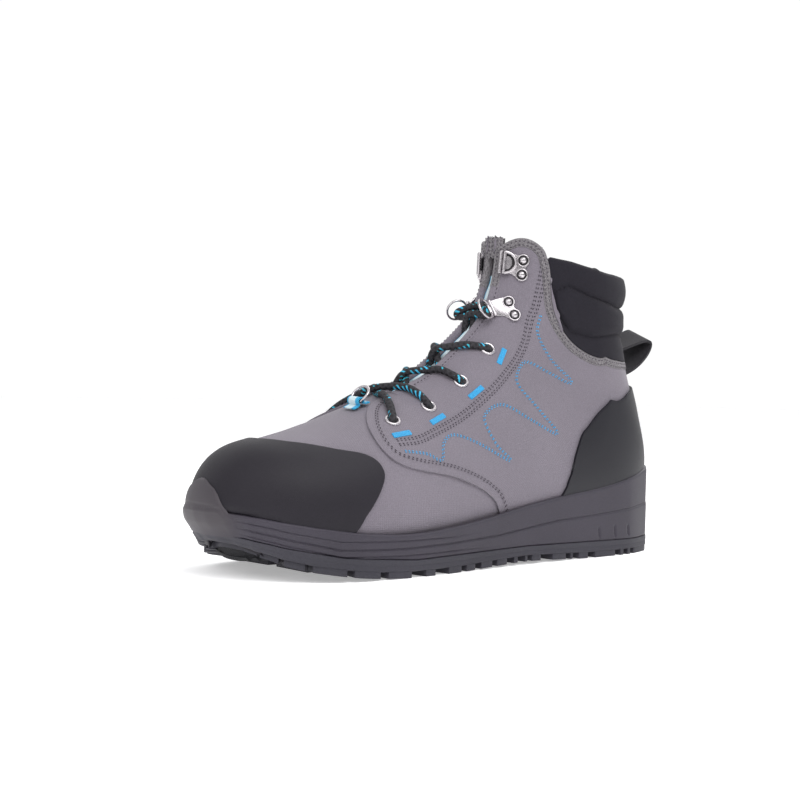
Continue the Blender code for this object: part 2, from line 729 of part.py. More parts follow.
def build_hook(side, level, along, up):
    """A sheet with two lobes under domed rivets and a hook bent forward and back over itself."""
    outer = side == "out"
    lift = QUARTER_STEP + GAP + 0.0009
    matrix = seat(along, up, outer, lift)
    name = f"lace_hook_{side}_{level}"
    lobe = HOOK_LOBE / 2.0
    outline = []
    for turn in np.radians([-30.0, 25.0, 80.0, 100.0, 140.0, 180.0]):
        outline.append((lobe * math.cos(turn) - HOOK_LOBE_BACK, lobe * math.sin(turn) + HOOK_LOBE_SPREAD))
    lower = [(x, -y) for x, y in outline][::-1]
    outline = [(0.0052, -0.0034), (0.0052, 0.0034)] + outline + lower
    shape = bmesh.new()
    rings = [[matrix @ Vector((x, y, z)) for x, y in outline] for z in (0.0, HOOK_SHEET)]
    loft(shape, rings)
    hook = place(shape, name, "steel")
    for sign in (1.0, -1.0):
        dome = bmesh.new()
        bmesh.ops.create_icosphere(dome, subdivisions=1, radius=RIVET_RADIUS)
        place_on_lobe = Matrix.Translation((-HOOK_LOBE_BACK, sign * HOOK_LOBE_SPREAD, HOOK_SHEET * 0.8))
        at = matrix @ place_on_lobe @ Matrix.Diagonal((1.0, 1.0, 0.7, 1.0))
        bmesh.ops.transform(dome, matrix=at, verts=dome.verts)
        join(hook, place(dome, name + "_rivet"))
    bend = []
    for degree in np.linspace(-90.0, 90.0, 5):
        turn = math.radians(degree)
        rise = 0.0026 * (1.0 + math.sin(turn))
        bend.append((0.0048 + HOOK_BEND * math.cos(turn), HOOK_SHEET * 0.5 + rise))
    bend = [(0.0036, HOOK_SHEET * 0.5)] + bend + [(0.0012, HOOK_SHEET * 0.5 + 0.0056)]
    strip = []
    for index, (x, z) in enumerate(bend):
        before = Vector(bend[max(index - 1, 0)])
        after = Vector(bend[min(index + 1, len(bend) - 1)])
        run = (after - before).normalized()
        side_step = Vector((-run.y, run.x)) * (HOOK_SHEET * 0.46)
        low = Vector((x, z)) - side_step
        high = Vector((x, z)) + side_step
        side_half = HOOK_STRIP / 2.0
        ring = [(low.x, -side_half, low.y), (low.x, side_half, low.y)]
        ring += [(high.x, side_half, high.y), (high.x, -side_half, high.y)]
        strip.append([matrix @ Vector((px, py, pz)) for px, py, pz in ring])
    shape = bmesh.new()
    loft(shape, strip)
    join(hook, place(shape, name + "_bend"))
    return hook


def arc(radius, start, end, count, centre=(0.0, 0.0)):
    turns = np.radians(np.linspace(start, end, count))
    return [(centre[0] + radius * math.cos(turn), centre[1] + radius * math.sin(turn)) for turn in turns]


def ring_seat():
    """Where the ring stands, on the vamp just ahead of the slit's foot."""
    section = THROAT[0][0] - 0.42
    middle = last_point(section, math.pi / 2.0)
    normal = Vector(last_normal(section, math.pi / 2.0))
    side = Vector((1.0, 0.0, 0.0))
    forward = side.cross(normal).normalized()
    base = Vector(middle) + normal * QUARTER_STEP
    return Matrix.Translation(base) @ Matrix((side, forward, normal)).transposed().to_4x4()


def build_ring_and_tab():
    matrix = ring_seat()
    tab_top = 0.0036
    above_tab = Matrix.Translation((0.0, 0.0, tab_top + 0.0002))
    lean = matrix @ above_tab @ Matrix.Rotation(math.radians(28.0), 4, "X")
    radius = RING_WIDTH / 2.0
    turns = np.linspace(0.0, 2.0 * math.pi, 16, endpoint=False)
    wire = []
    for turn in turns:
        middle = Vector((radius * math.cos(turn), 0.0, radius * 0.86 + radius * 0.86 * math.sin(turn)))
        inward = Vector((math.cos(turn), 0.0, math.sin(turn)))
        ring = []
        for corner in np.radians(np.arange(0.0, 360.0, 60.0)):
            step = inward * math.cos(corner) + Vector((0.0, 1.0, 0.0)) * math.sin(corner)
            ring.append(lean @ (middle + step * RING_WIRE / 2.0))
        wire.append(ring)
    shape = bmesh.new()
    loft(shape, wire, closed=True)
    place(shape, "ring", "steel")
    profile = arc(0.0027, -60.0, 240.0, 10, (0.0, tab_top))
    inner = arc(0.0018, 0.0, 324.0, 10, (0.0, tab_top))
    outline = [(0.0060, 0.0004), (0.0060, 0.0012), (0.0026, 0.0016)] + profile[1:-1] + [(-0.0022, 0.0004)]
    half = 0.0024
    shape = bmesh.new()
    rings = [[matrix @ Vector((x, y, z)) for y, z in outline] for x in (-half, half)]
    loft(shape, rings)
    tab = place(shape, "ring_tab", "tab")
    shape = bmesh.new()
    rings = [[matrix @ Vector((x, y, z)) for y, z in inner] for x in (-half - 0.001, half + 0.001)]
    loft(shape, rings)
    return cut(tab, place(shape, "tab_eye"))


def build_pull_loop():
    """A folded webbing strip standing out of the back, with its two ends flat on the upper."""
    stations = []
    for up in (0.585 * HEIGHT, 0.650 * HEIGHT):
        at = np.linspace(12.0, 17.0, 400)
        line = last_point(at, -math.pi / 2.0)
        nearest = np.argmin(np.abs(line[:, 2] - up))
        outward = last_normal(at[nearest], -math.pi / 2.0)
        stations.append(Vector(line[nearest] + outward * (QUARTER_STEP + GAP)))
    base = 0.5 * (stations[0] + stations[1])
    upward = (stations[1] - stations[0]).normalized()
    out = Vector((0.0, upward.z, -upward.y))
    half = LOOP_THICKNESS / 2.0
    path = [(half + 0.0003, -0.0075)]
    for turn in np.radians(np.linspace(-90.0, 90.0, 11)):
        swing = (LOOP_REACH - 0.004 - LOOP_THICKNESS) * math.cos(turn)
        path.append((half + 0.004 + swing, -0.0010 + 0.0068 * math.sin(turn)))
    path.append((half + 0.0005, 0.0085))
    width = LOOP_WIDTH / 2.0
    corners = [(-width, -half), (0.0, -half), (width, -half), (width, half), (0.0, half), (-width, half)]
    rings = []
    for index, (y, z) in enumerate(path):
        before = path[max(index - 1, 0)]
        after = path[min(index + 1, len(path) - 1)]
        run = Vector((after[0] - before[0], after[1] - before[1])).normalized()
        reach = min(max(y / LOOP_REACH, 0.0), 1.0)
        ring = []
        for x, side in corners:
            wrap = 0.001 * (1.0 - reach) * (x / width) ** 2
            tilt = 0.0035 * reach * x / width
            at = base + Vector((x, 0.0, -tilt - 0.3 * reach * y))
            ring.append(at + out * (y - side * run.y - wrap) + upward * (z + side * run.x))
        rings.append(ring)
    shape = bmesh.new()
    loft(shape, rings)
    return place(shape, "pull_loop", "webbing")


# Laces


def bridge(low, high, lift, rise, count=7):
    """Points of one lace from a side view place on one facing over the slit to one on the other."""
    start_section, start_angle = locate(low[0] * LENGTH, low[1] * HEIGHT, low[2])
    end_section, end_angle = locate(high[0] * LENGTH, high[1] * HEIGHT, high[2])
    points = []
    for share in np.linspace(0.0, 1.0, count):
        section = start_section + (end_section - start_section) * share
        angle = start_angle + (end_angle - start_angle) * share
        height = lift + rise * math.sin(math.pi * share)
        points.append(tuple(last_point(section, angle) + height * last_normal(section, angle)))
    return points


def inboard(along_up, amount):
    """A place near an eyelet, moved towards the slit."""
    return along_up[0] + amount * 0.32, along_up[1] + amount


def build_laces():
    lift = QUARTER_STEP + GAP + LACE_WIDTH / 2.0 + 0.0002
    tops = EYELETS + [(HOOKS[0][1] + 0.018, HOOKS[0][2] - 0.010)]
    for index, (low, high) in enumerate(zip(tops, tops[1:])):
        near_low = inboard(low, 0.030)
        near_high = inboard(high, 0.056 if index < 3 else 0.010)
        first = bridge((*near_low, True), (*near_high, False), lift, 0.0022)
        second = bridge((*near_low, False), (*near_high, True), lift, 0.0006)
        cross = tube(f"lace_cross_{index + 1}", first, LACE_WIDTH, "lace")
        other = tube("lace_other", second, LACE_WIDTH, "lace")
        join(cross, other)


def build_boot():
    build_outsole()
    build_midsole()
    build_insole()
    build_upper()
    build_toe_cap()
    build_counter()
    build_collar()
    build_tongue()
    for number, (along, up) in enumerate(EYELETS, start=1):
        for side in ("out", "in"):
            build_eyelet(number, side, along * LENGTH, up * HEIGHT)
    for level, along, up in HOOKS:
        for side in ("out", "in"):
            build_hook(side, level, along * LENGTH, up * HEIGHT)
    build_ring_and_tab()
    build_pull_loop()
    build_laces()


build_boot()
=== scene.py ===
"""The looks of a wading boot for the left foot: cloth upper, rubber sole, steel hardware and laces.

Metres, +Z up, toe along -Y, outer side at +X. Every panel lies on the same last, worked out from a
table of sections, and is placed on it by section number and by the angle round it.
"""

import math

import bmesh
import bpy
import numpy as np
from mathutils import Matrix, Vector
from mathutils.bvhtree import BVHTree


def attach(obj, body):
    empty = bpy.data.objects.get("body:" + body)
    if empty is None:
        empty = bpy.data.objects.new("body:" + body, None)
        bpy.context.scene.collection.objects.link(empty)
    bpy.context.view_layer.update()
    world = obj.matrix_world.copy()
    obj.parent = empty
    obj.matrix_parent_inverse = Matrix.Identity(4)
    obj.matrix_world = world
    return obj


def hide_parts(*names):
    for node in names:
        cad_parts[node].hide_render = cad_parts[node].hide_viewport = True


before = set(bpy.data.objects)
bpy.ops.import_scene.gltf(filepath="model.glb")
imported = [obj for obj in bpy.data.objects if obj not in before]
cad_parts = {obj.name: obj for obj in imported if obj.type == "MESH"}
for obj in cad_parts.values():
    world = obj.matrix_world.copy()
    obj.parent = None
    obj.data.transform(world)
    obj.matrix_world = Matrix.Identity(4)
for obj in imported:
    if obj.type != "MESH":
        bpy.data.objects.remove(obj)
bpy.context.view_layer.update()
for shown in bpy.context.selected_objects:
    shown.select_set(False)

MM = 0.001
LENGTH = 0.310
HEIGHT = 0.179
BALL_WIDTH = 0.098
SOLE_WIDTH = 0.112
HEEL_STACK = 0.050
TOE_SPRING = 0.014
HEEL_REST = 0.040
WALL = 0.0022
QUARTER_LIFT = 0.0012
OUTSOLE_THICKNESS = 0.0085
LUG_DEPTH = 0.0036
LUG_INSET = 0.00055
LUG_REACH = 0.0125
CHEVRON_STEP = 13.5
LACE_WIDTH = 0.0042
TAB_MIDDLE = -0.008
TOE_UNDERCUT = 0.0128
TOE_BEND = 1.75
QUARTER_THICKNESS = 0.0012
VAMP_THICKNESS = 0.0010
CAP_LIFT = 0.0017
CAP_THICKNESS = 0.0014
COUNTER_LIFT = QUARTER_LIFT + 0.0016
COUNTER_THICKNESS = 0.0013
TONGUE_THICKNESS = 0.0040
TONGUE_DEPTH = 0.0042
TONGUE_CROWN = 0.0036
OVERLAY_EDGE = 0.0005
TOP_OF_SLIT = 15.35
FOOT_OF_SLIT = 6.75
SMOOTH_ANGLE = math.radians(40.0)
MERGE = 2e-6
FINE_MERGE = 1e-7

# Angles round the last: at the front or top, and at the back
FRONT = math.pi / 2.0
BACK = -math.pi / 2.0

# Each side's name in pieces, whether it is the outer one, and the sign of its x
SIDES = (("out", True, 1.0), ("in", False, -1.0))

# The last, toe to collar, as in the part: along as a share of LENGTH, up of HEIGHT, widths of BALL_WIDTH
SECTION = np.array([
    # top_along, top_up, bottom_along, bottom_up, out, inn, widest, top_power, bottom_power
    (0.9860, 0.184, 0.9860, 0.184, 0.000, 0.000, 0.45, 2.00, 2.20),
    (0.9800, 0.254, 0.9800, 0.090, 0.155, 0.180, 0.45, 2.10, 2.30),
    (0.9600, 0.316, 0.9615, 0.056, 0.265, 0.290, 0.43, 2.20, 2.40),
    (0.9270, 0.356, 0.9300, 0.038, 0.370, 0.388, 0.42, 2.25, 2.50),
    (0.8740, 0.379, 0.8770, 0.030, 0.460, 0.458, 0.40, 2.30, 2.60),
    (0.8000, 0.411, 0.8065, 0.022, 0.515, 0.500, 0.38, 2.20, 2.60),
    (0.7161, 0.461, 0.7226, 0.022, 0.520, 0.474, 0.36, 2.10, 2.60),
    (0.6355, 0.514, 0.6065, 0.034, 0.490, 0.424, 0.34, 2.00, 2.60),
    (0.5548, 0.575, 0.4774, 0.050, 0.444, 0.383, 0.33, 2.00, 2.50),
    (0.4839, 0.662, 0.3226, 0.067, 0.418, 0.372, 0.34, 2.00, 2.40),
    (0.4387, 0.732, 0.1806, 0.067, 0.398, 0.383, 0.36, 1.85, 2.55),
    (0.4097, 0.793, 0.0774, 0.089, 0.388, 0.383, 0.40, 1.75, 2.60),
    (0.3919, 0.860, 0.0258, 0.223, 0.378, 0.378, 0.45, 1.70, 2.50),
    (0.3839, 0.911, 0.0371, 0.380, 0.367, 0.367, 0.48, 1.65, 2.30),
    (0.3806, 0.955, 0.0565, 0.503, 0.362, 0.362, 0.50, 1.60, 2.10),
    (0.3790, 1.000, 0.0790, 0.615, 0.367, 0.367, 0.50, 1.60, 2.10),
    (0.3774, 1.045, 0.0887, 0.715, 0.372, 0.372, 0.50, 1.60, 2.10),
    (0.3774, 1.095, 0.0855, 0.816, 0.378, 0.378, 0.50, 1.60, 2.10),
    (0.3774, 1.145, 0.0839, 0.922, 0.378, 0.378, 0.50, 1.60, 2.10),
    (0.3774, 1.201, 0.0871, 1.034, 0.378, 0.378, 0.50, 1.60, 2.10),
])
LAST_SECTION = len(SECTION) - 1

# The sole, heel to toe: half widths as shares of SOLE_WIDTH, top edge and footbed of HEEL_STACK, and
# underside of TOE_SPRING
SOLE = np.array([
    # along, out, inn, top, floor, under
    (0.000, 0.040, 0.040, 1.030, 0.50, 0.28),
    (0.008, 0.125, 0.125, 1.030, 0.50, 0.22),
    (0.025, 0.205, 0.203, 1.020, 0.50, 0.10),
    (0.058, 0.287, 0.283, 0.985, 0.50, 0.00),
    (0.129, 0.352, 0.347, 0.890, 0.48, 0.00),
    (0.226, 0.370, 0.352, 0.792, 0.47, 0.00),
    (0.323, 0.383, 0.345, 0.722, 0.45, 0.06),
    (0.419, 0.399, 0.347, 0.640, 0.43, 0.12),
    (0.516, 0.426, 0.361, 0.545, 0.39, 0.06),
    (0.613, 0.460, 0.399, 0.475, 0.34, 0.00),
    (0.710, 0.485, 0.437, 0.440, 0.30, 0.00),
    (0.806, 0.478, 0.463, 0.470, 0.29, 0.12),
    (0.887, 0.420, 0.435, 0.540, 0.34, 0.36),
    (0.940, 0.345, 0.364, 0.595, 0.41, 0.62),
    (0.974, 0.240, 0.277, 0.640, 0.47, 0.83),
    (0.991, 0.140, 0.190, 0.660, 0.50, 0.94),
    (1.000, 0.015, 0.080, 0.665, 0.52, 1.00),
])

# Half the slit between the facings, in millimetres, up the front line by section number
SLIT = np.array([(6.3, 8.4), (7.3, 7.8), (8.3, 6.6), (9.4, 5.2), (11.0, 3.6), (13.0, 2.6), (19.0, 2.2)])

# Lines on the last as millimetres: x outwards, along from the heel's back, up from the floor
FACING_FRONT = [
    (7.9, 203, 90), (9.6, 211, 87.2), (13.5, 218, 84), (20.9, 224.7, 79.3), (29.2, 229.5, 74.0),
    (37.6, 231.0, 67.2), (43.0, 229.0, 61.7), (46.4, 224.3, 57.6), (48.0, 217.6, 55.3),
    (48.7, 208.0, 53.2), (48.8, 197.0, 51.6), (48.6, 186.5, 49.6), (48.2, 177, 46.8), (47.8, 168, 43.5),
    (47.0, 160, 39.4), (46.2, 154.5, 35.4), (44.8, 149.6, 28.3), (43.6, 147, 22),
]
EAR_TOP = [
    (2.6, 119.5, 171), (5.6, 117.6, 174.6), (10.0, 114.8, 177.8), (14.4, 111.7, 179.4),
    (18.5, 108.5, 179), (22, 104.5, 176.5), (24.6, 101.2, 172.6),
]
EAR_BACK = [
    (24.6, 101.2, 172.6), (25.6, 98.6, 164), (26.2, 97.3, 154), (26.6, 96.6, 144), (28.2, 94, 134),
    (31, 88.5, 124.5), (34, 80, 117.5), (36.5, 67, 113.2), (35.5, 46.5, 112.0), (22, 31, 112.3),
    (0, 26, 112.6),
]
COLLAR_RIM = [
    (24.6, 101.2, 172.6), (28, 96, 170.5), (33, 86, 167.5), (37, 68, 163.5), (35.5, 50, 162),
    (22, 32, 162), (0, 26, 162),
]
CAP_LINE = [
    (0, 277.5, 68.4), (10, 275.5, 68.0), (19.4, 271.0, 67.0), (32.9, 257, 64.2), (39.9, 243.8, 61.8),
    (43.9, 237.6, 59.0), (47.1, 235.0, 54.8), (49.1, 235.4, 50.0), (50.8, 239.7, 43.0),
    (51.6, 245.3, 35.8), (51.5, 251, 28.3), (50.6, 257, 20), (49.5, 262, 13),
]
COUNTER_TOP = [
    (41.5, 93, 50), (40.4, 88, 62), (39, 80, 73), (37, 65, 85.2), (34, 40, 94), (20, 24, 98),
    (0, 18.6, 99.3),
]
COUNTER_FOOT = [
    (41.5, 93, 50), (41.8, 96.5, 42), (41, 99, 30), (39, 60, 27), (31, 18, 28), (18, 4, 29),
    (0, 0.5, 30),
]

# Eyelets and hooks of the outer side
EYELETS = [(29.5, 214.2, 78.2), (28.0, 188.5, 85.7), (24.0, 162.1, 99.2), (19.0, 138.3, 116.7)]
LOWER_HOOK = (15.8, 117.65, 139.85)
UPPER_HOOK = (16.75, 110.45, 163.15)


def smooth_rows(table, place_in_table, mirrored=False):
    """Rows read between the table's own rows on a Catmull-Rom curve."""
    last = len(table) - 1
    at = np.clip(np.atleast_1d(np.asarray(place_in_table, float)), 0.0, last)
    first = np.minimum(np.floor(at).astype(int), last - 1)
    share = (at - first)[:, None]

    def row(index):
        rows = table[np.clip(np.abs(index), 0, last)].copy()
        before = index < 0
        if mirrored:
            rows[before, 0:4] = rows[before][:, [2, 3, 0, 1]]
            rows[before, 4:6] *= -1.0
        else:
            rows[before] = 2.0 * table[0] - table[1]
        rows[index > last] = 2.0 * table[last] - table[last - 1]
        return rows

    a, b, c, d = row(first - 1), row(first), row(first + 1), row(first + 2)
    bend = 2.0 * a - 5.0 * b + 4.0 * c - d
    twist = -a + 3.0 * b - 3.0 * c + d
    return 0.5 * (2.0 * b + (c - a) * share + bend * share**2 + twist * share**3)


def last_point(section, angle):
    """Points on the last by section number and angle: 0 is the outer side, 90 degrees the top or front."""
    section, angle = np.broadcast_arrays(np.asarray(section, float), np.asarray(angle, float))
    rows = smooth_rows(SECTION, section.ravel(), mirrored=True)
    turn = angle.ravel()
    top = rows[:, 0:2] * (LENGTH, HEIGHT)
    bottom = rows[:, 2:4] * (LENGTH, HEIGHT)
    middle = bottom + rows[:, 6:7] * (top - bottom)
    upward = np.sin(turn) >= 0.0
    power = np.where(upward, rows[:, 7], rows[:, 8])
    rise = np.abs(np.sin(turn)) ** (2.0 / power)
    side = np.sign(np.cos(turn)) * np.abs(np.cos(turn)) ** (2.0 / power)
    along_up = middle + (np.where(upward[:, None], top, bottom) - middle) * rise[:, None]
    half = np.where(np.cos(turn) >= 0.0, rows[:, 4], rows[:, 5]) * BALL_WIDTH
    point = np.stack([half * side, HEEL_REST - along_up[:, 0], along_up[:, 1]], axis=1)
    return tucked(point).reshape(section.shape + (3,))


def tucked(point):
    """Keeps the last behind the sole's curved front, under the toe tab."""
    front = HEEL_REST - LENGTH + 0.008 * (np.abs(point[:, 0] + 0.003) / 0.029) ** 2.3
    down = np.clip((0.035 - point[:, 2]) / 0.022, 0.0, 1.0)
    limit = front + 0.0052 + TOE_UNDERCUT * down**TOE_BEND - 0.5 * np.clip(point[:, 2] - 0.033, 0.0, None)
    point[:, 1] = np.where(point[:, 2] < 0.040, np.maximum(point[:, 1], limit), point[:, 1])
    return point


def unit(rows):
    return rows / np.maximum(np.linalg.norm(rows, axis=-1, keepdims=True), 1e-12)


def slopes(section, angle):
    step = 2e-3
    section = np.clip(section, 2.0 * step, LAST_SECTION - 2.0 * step)
    by_section = (last_point(section + step, angle) - last_point(section - step, angle)) / (2.0 * step)
    by_angle = (last_point(section, angle + step) - last_point(section, angle - step)) / (2.0 * step)
    return by_section, by_angle


def last_normal(section, angle):
    section = np.maximum(np.asarray(section, float), 0.04)
    by_section, by_angle = slopes(section, np.asarray(angle, float))
    return unit(np.cross(by_section, by_angle))


def settle(line, target, rounds=8):
    """Moves section and angle pairs until they lie nearest to target points."""
    line = np.array(line, float)
    for _ in range(rounds):
        by_section, by_angle = slopes(line[..., 0], line[..., 1])
        miss = target - last_point(line[..., 0], line[..., 1])
        aa = np.sum(by_section * by_section, -1)
        bb = np.sum(by_angle * by_angle, -1)
        ab = np.sum(by_section * by_angle, -1)
        am = np.sum(by_section * miss, -1)
        bm = np.sum(by_angle * miss, -1)
        det = np.maximum(aa * bb - ab * ab, 1e-14)
        line[..., 0] += np.clip((bb * am - ab * bm) / det, -0.5, 0.5)
        line[..., 1] += np.clip((aa * bm - ab * am) / det, -0.3, 0.3)
        line[..., 0] = np.clip(line[..., 0], 0.0, LAST_SECTION)
    return line


def pin(points):
    """Section and angle of the places on the last nearest to points in millimetres: x, along, up."""
    points = np.array(points, float) * MM
    target = np.stack([points[:, 0], HEEL_REST - points[:, 1], points[:, 2]], axis=1)
    sections, angles = np.meshgrid(np.linspace(0.3, LAST_SECTION, 90), np.radians(np.arange(-90, 270, 4)))
    known = last_point(sections, angles).reshape(-1, 3)
    nearest = np.argmin(np.linalg.norm(known[None] - target[:, None], axis=-1), axis=1)
    start = np.stack([sections.ravel()[nearest], angles.ravel()[nearest]], axis=1)
    return settle(start, target)


def on_last(line, lift=0.0):
    lift = np.asarray(lift, float)[..., None] if np.ndim(lift) else lift
    return last_point(line[..., 0], line[..., 1]) + lift * last_normal(line[..., 0], line[..., 1])


def side_of(line, outer=True):
    """The same line on the outer side, or mirrored to the inner side."""
    return line if outer else np.stack([line[:, 0], math.pi - line[:, 1]], axis=1)


def arc_length(points):
    return np.concatenate([[0.0], np.cumsum(np.linalg.norm(np.diff(points, axis=0), axis=1))])


def even(line, count, start=0.0, end=1.0):
    """A line read again at even distances, or at a share of its length."""
    travelled = arc_length(on_last(line))
    at = np.linspace(start, end, count) * travelled[-1]
    return np.stack([np.interp(at, travelled, line[:, 0]), np.interp(at, travelled, line[:, 1])], axis=1)


def curve_through(points, per_span=12):
    """A smooth dense line on the last through pinned points in millimetres."""
    knots = pin(points)
    at = np.linspace(0.0, len(knots) - 1.0, (len(knots) - 1) * per_span + 1)
    return smooth_rows(knots, at)


def long(line):
    return arc_length(on_last(line))[-1]


def beside(line, distance):
    """A line moved sideways on the surface, to the left of its run seen from outside."""
    place = on_last(line)
    run = unit(np.gradient(place, axis=0))
    across = unit(np.cross(last_normal(line[:, 0], line[:, 1]), run))
    return settle(line, place + across * np.asarray(distance, float).reshape(-1, 1), 3)


def slit_line(first, last, count):
    """The outer facing's edge along the slit, between two section numbers."""
    section = np.linspace(first, last, count)
    half = np.interp(section, SLIT[:, 0], SLIT[:, 1]) * MM
    rows = smooth_rows(SECTION, section, mirrored=True)
    angle = np.arccos((half / (rows[:, 4] * BALL_WIDTH)) ** (rows[:, 7] / 2.0))
    return np.stack([section, angle], axis=1)


def sole_row(along):
    """The sole's sizes in metres at a distance from the heel's back: out, inn, top, floor, under."""
    share = np.clip(np.atleast_1d(np.asarray(along, float)) / LENGTH, 0.0, 1.0)
    at = np.interp(share, SOLE[:, 0], np.arange(len(SOLE)))
    rows = np.maximum(smooth_rows(SOLE, at)[:, 1:], 0.0)
    return rows * np.array([SOLE_WIDTH, SOLE_WIDTH, HEEL_STACK, HEEL_STACK, TOE_SPRING])


# Materials


def blank(name):
    made = bpy.data.materials.new(name)
    made.use_nodes = True
    tree = made.node_tree
    shader = tree.nodes["Principled BSDF"]
    return made, tree, shader


def link(tree, a, out, b, into):
    tree.links.new(a.outputs[out], b.inputs[into])


def node(tree, kind, **values):
    made = tree.nodes.new(kind)
    for key, value in values.items():
        if key in made.inputs:
            made.inputs[key].default_value = value
        else:
            setattr(made, key, value)
    return made


def coordinates(tree, scale, source="Object", turn=(0.0, 0.0, 0.0)):
    place = node(tree, "ShaderNodeTexCoord")
    mapping = node(tree, "ShaderNodeMapping")
    mapping.inputs["Scale"].default_value = scale if hasattr(scale, "__len__") else (scale,) * 3
    mapping.inputs["Rotation"].default_value = turn
    link(tree, place, source, mapping, "Vector")
    return mapping


def noise(tree, scale, detail=3.0, roughness=0.55):
    made = node(tree, "ShaderNodeTexNoise", Scale=scale, Detail=detail, Roughness=roughness)
    link(tree, coordinates(tree, 1.0), "Vector", made, "Vector")
    return made


def ramp(tree, source, out, stops):
    made = node(tree, "ShaderNodeValToRGB")
    elements = made.color_ramp.elements
    while len(elements) < len(stops):
        elements.new(0.5)
    for element, (place, colour) in zip(elements, stops):
        element.position = place
        element.color = colour if len(colour) == 4 else (*colour, 1.0)
    link(tree, source, out, made, "Fac")
    return made


def mix(tree, factor, a, b, mode="MIX"):
    made = node(tree, "ShaderNodeMix", data_type="RGBA", blend_type=mode)
    for value, socket in ((factor, 0), (a, 6), (b, 7)):
        if isinstance(value, (int, float)):
            made.inputs[socket].default_value = value
        elif isinstance(value, tuple) and not hasattr(value[0], "outputs"):
            made.inputs[socket].default_value = (*value, 1.0) if len(value) == 3 else value
        else:
            maker, out = value
            tree.links.new(maker.outputs[out], made.inputs[socket])
    return made


def sum_of(tree, operation, *values):
    """One step of arithmetic on numbers and on (node, output) pairs."""
    made = node(tree, "ShaderNodeMath", operation=operation)
    for socket, value in enumerate(values):
        if isinstance(value, float):
            made.inputs[socket].default_value = value
        else:
            link(tree, *value, made, socket)
    return made


def bump(tree, shader, source, out, strength, distance, under=None):
    made = node(tree, "ShaderNodeBump", Strength=strength, Distance=distance)
    link(tree, source, out, made, "Height")
    if under:
        link(tree, under, "Normal", made, "Normal")
    link(tree, made, "Normal", shader, "Normal")
    return made


def tone(colour, factor):
    return tuple(channel * factor for channel in colour)


def grained(name, colour, roughness, grain, depth):
    """A finish with fine grain in its bump, slow patches in its colour and small changes of gloss."""
    made, tree, shader = blank(name)
    slow = noise(tree, 14.0, 4.0)
    colours = ramp(tree, slow, "Fac", [(0.32, tone(colour, 0.88)), (0.68, tone(colour, 1.12))])
    fine = noise(tree, grain, 3.0, 0.6)
    blend = mix(tree, 0.35, (colours, "Color"), (fine, "Fac"), "OVERLAY")
    tree.links.new(blend.outputs[2], shader.inputs["Base Color"])
    gloss = node(tree, "ShaderNodeMapRange", **{"To Min": roughness - 0.06, "To Max": roughness + 0.08})
    link(tree, slow, "Fac", gloss, "Value")
    link(tree, gloss, "Result", shader, "Roughness")
    shader.inputs["Specular IOR Level"].default_value = 0.3
    bump(tree, shader, fine, "Fac", 0.6, depth)
    return made


def woven(name, colour, roughness, count, depth, heather=0.1, sheen=0.15):
    """A plain weave on the piece's own map, whose unit is a metre, with heather in its yarns."""
    made, tree, shader = blank(name)
    waves = []
    for turn in (0.0, math.pi / 2.0):
        mapping = coordinates(tree, 1.0, "UV", (0.0, 0.0, turn))
        wave = node(tree, "ShaderNodeTexWave", Scale=count, Distortion=0.6, Detail=1.0)
        wave.inputs["Detail Scale"].default_value = 2.0
        link(tree, mapping, "Vector", wave, "Vector")
        waves.append(wave)
    weave = sum_of(tree, "MAXIMUM", (waves[0], "Fac"), (waves[1], "Fac"))
    speck = noise(tree, 1500.0, 2.0, 0.7)
    slow = noise(tree, 16.0, 4.0)
    base = ramp(tree, slow, "Fac", [(0.3, tone(colour, 0.94)), (0.7, tone(colour, 1.06))])
    dots = ramp(tree, speck, "Fac", [(0.35, (0.5 - heather,) * 3), (0.65, (0.5 + heather,) * 3)])
    blend = mix(tree, 1.0, (base, "Color"), (dots, "Color"), "OVERLAY")
    tree.links.new(blend.outputs[2], shader.inputs["Base Color"])
    shader.inputs["Roughness"].default_value = roughness
    shader.inputs["Sheen Weight"].default_value = sheen
    shader.inputs["Specular IOR Level"].default_value = 0.2
    lower = bump(tree, shader, speck, "Fac", 0.35, depth)
    bump(tree, shader, weave, "Value", 0.5, depth, lower)
    return made


GREY = (0.180, 0.161, 0.190)


def paler_toe(made, pale):
    """Makes a finish paler over the middle of the toe's front."""
    tree = made.node_tree
    shader = tree.nodes["Principled BSDF"]
    plain = shader.inputs["Base Color"].links[0].from_socket
    place = node(tree, "ShaderNodeTexCoord")
    parts = node(tree, "ShaderNodeSeparateXYZ")
    link(tree, place, "Object", parts, "Vector")
    front = node(tree, "ShaderNodeMapRange", **{"From Min": -0.258, "From Max": -0.266})
    link(tree, parts, "Y", front, "Value")
    middle = sum_of(tree, "ADD", (parts, "X"), -TAB_MIDDLE)
    apart = sum_of(tree, "ABSOLUTE", (middle, "Value"))
    near = node(tree, "ShaderNodeMapRange", **{"From Min": 0.034, "From Max": 0.022})
    link(tree, apart, "Value", near, "Value")
    both = sum_of(tree, "MULTIPLY", (front, "Result"), (near, "Result"))
    blend = mix(tree, (both, "Value"), (0.5, 0.5, 0.5), pale)
    tree.links.new(plain, blend.inputs[6])
    tree.links.new(blend.outputs[2], shader.inputs["Base Color"])
    return made


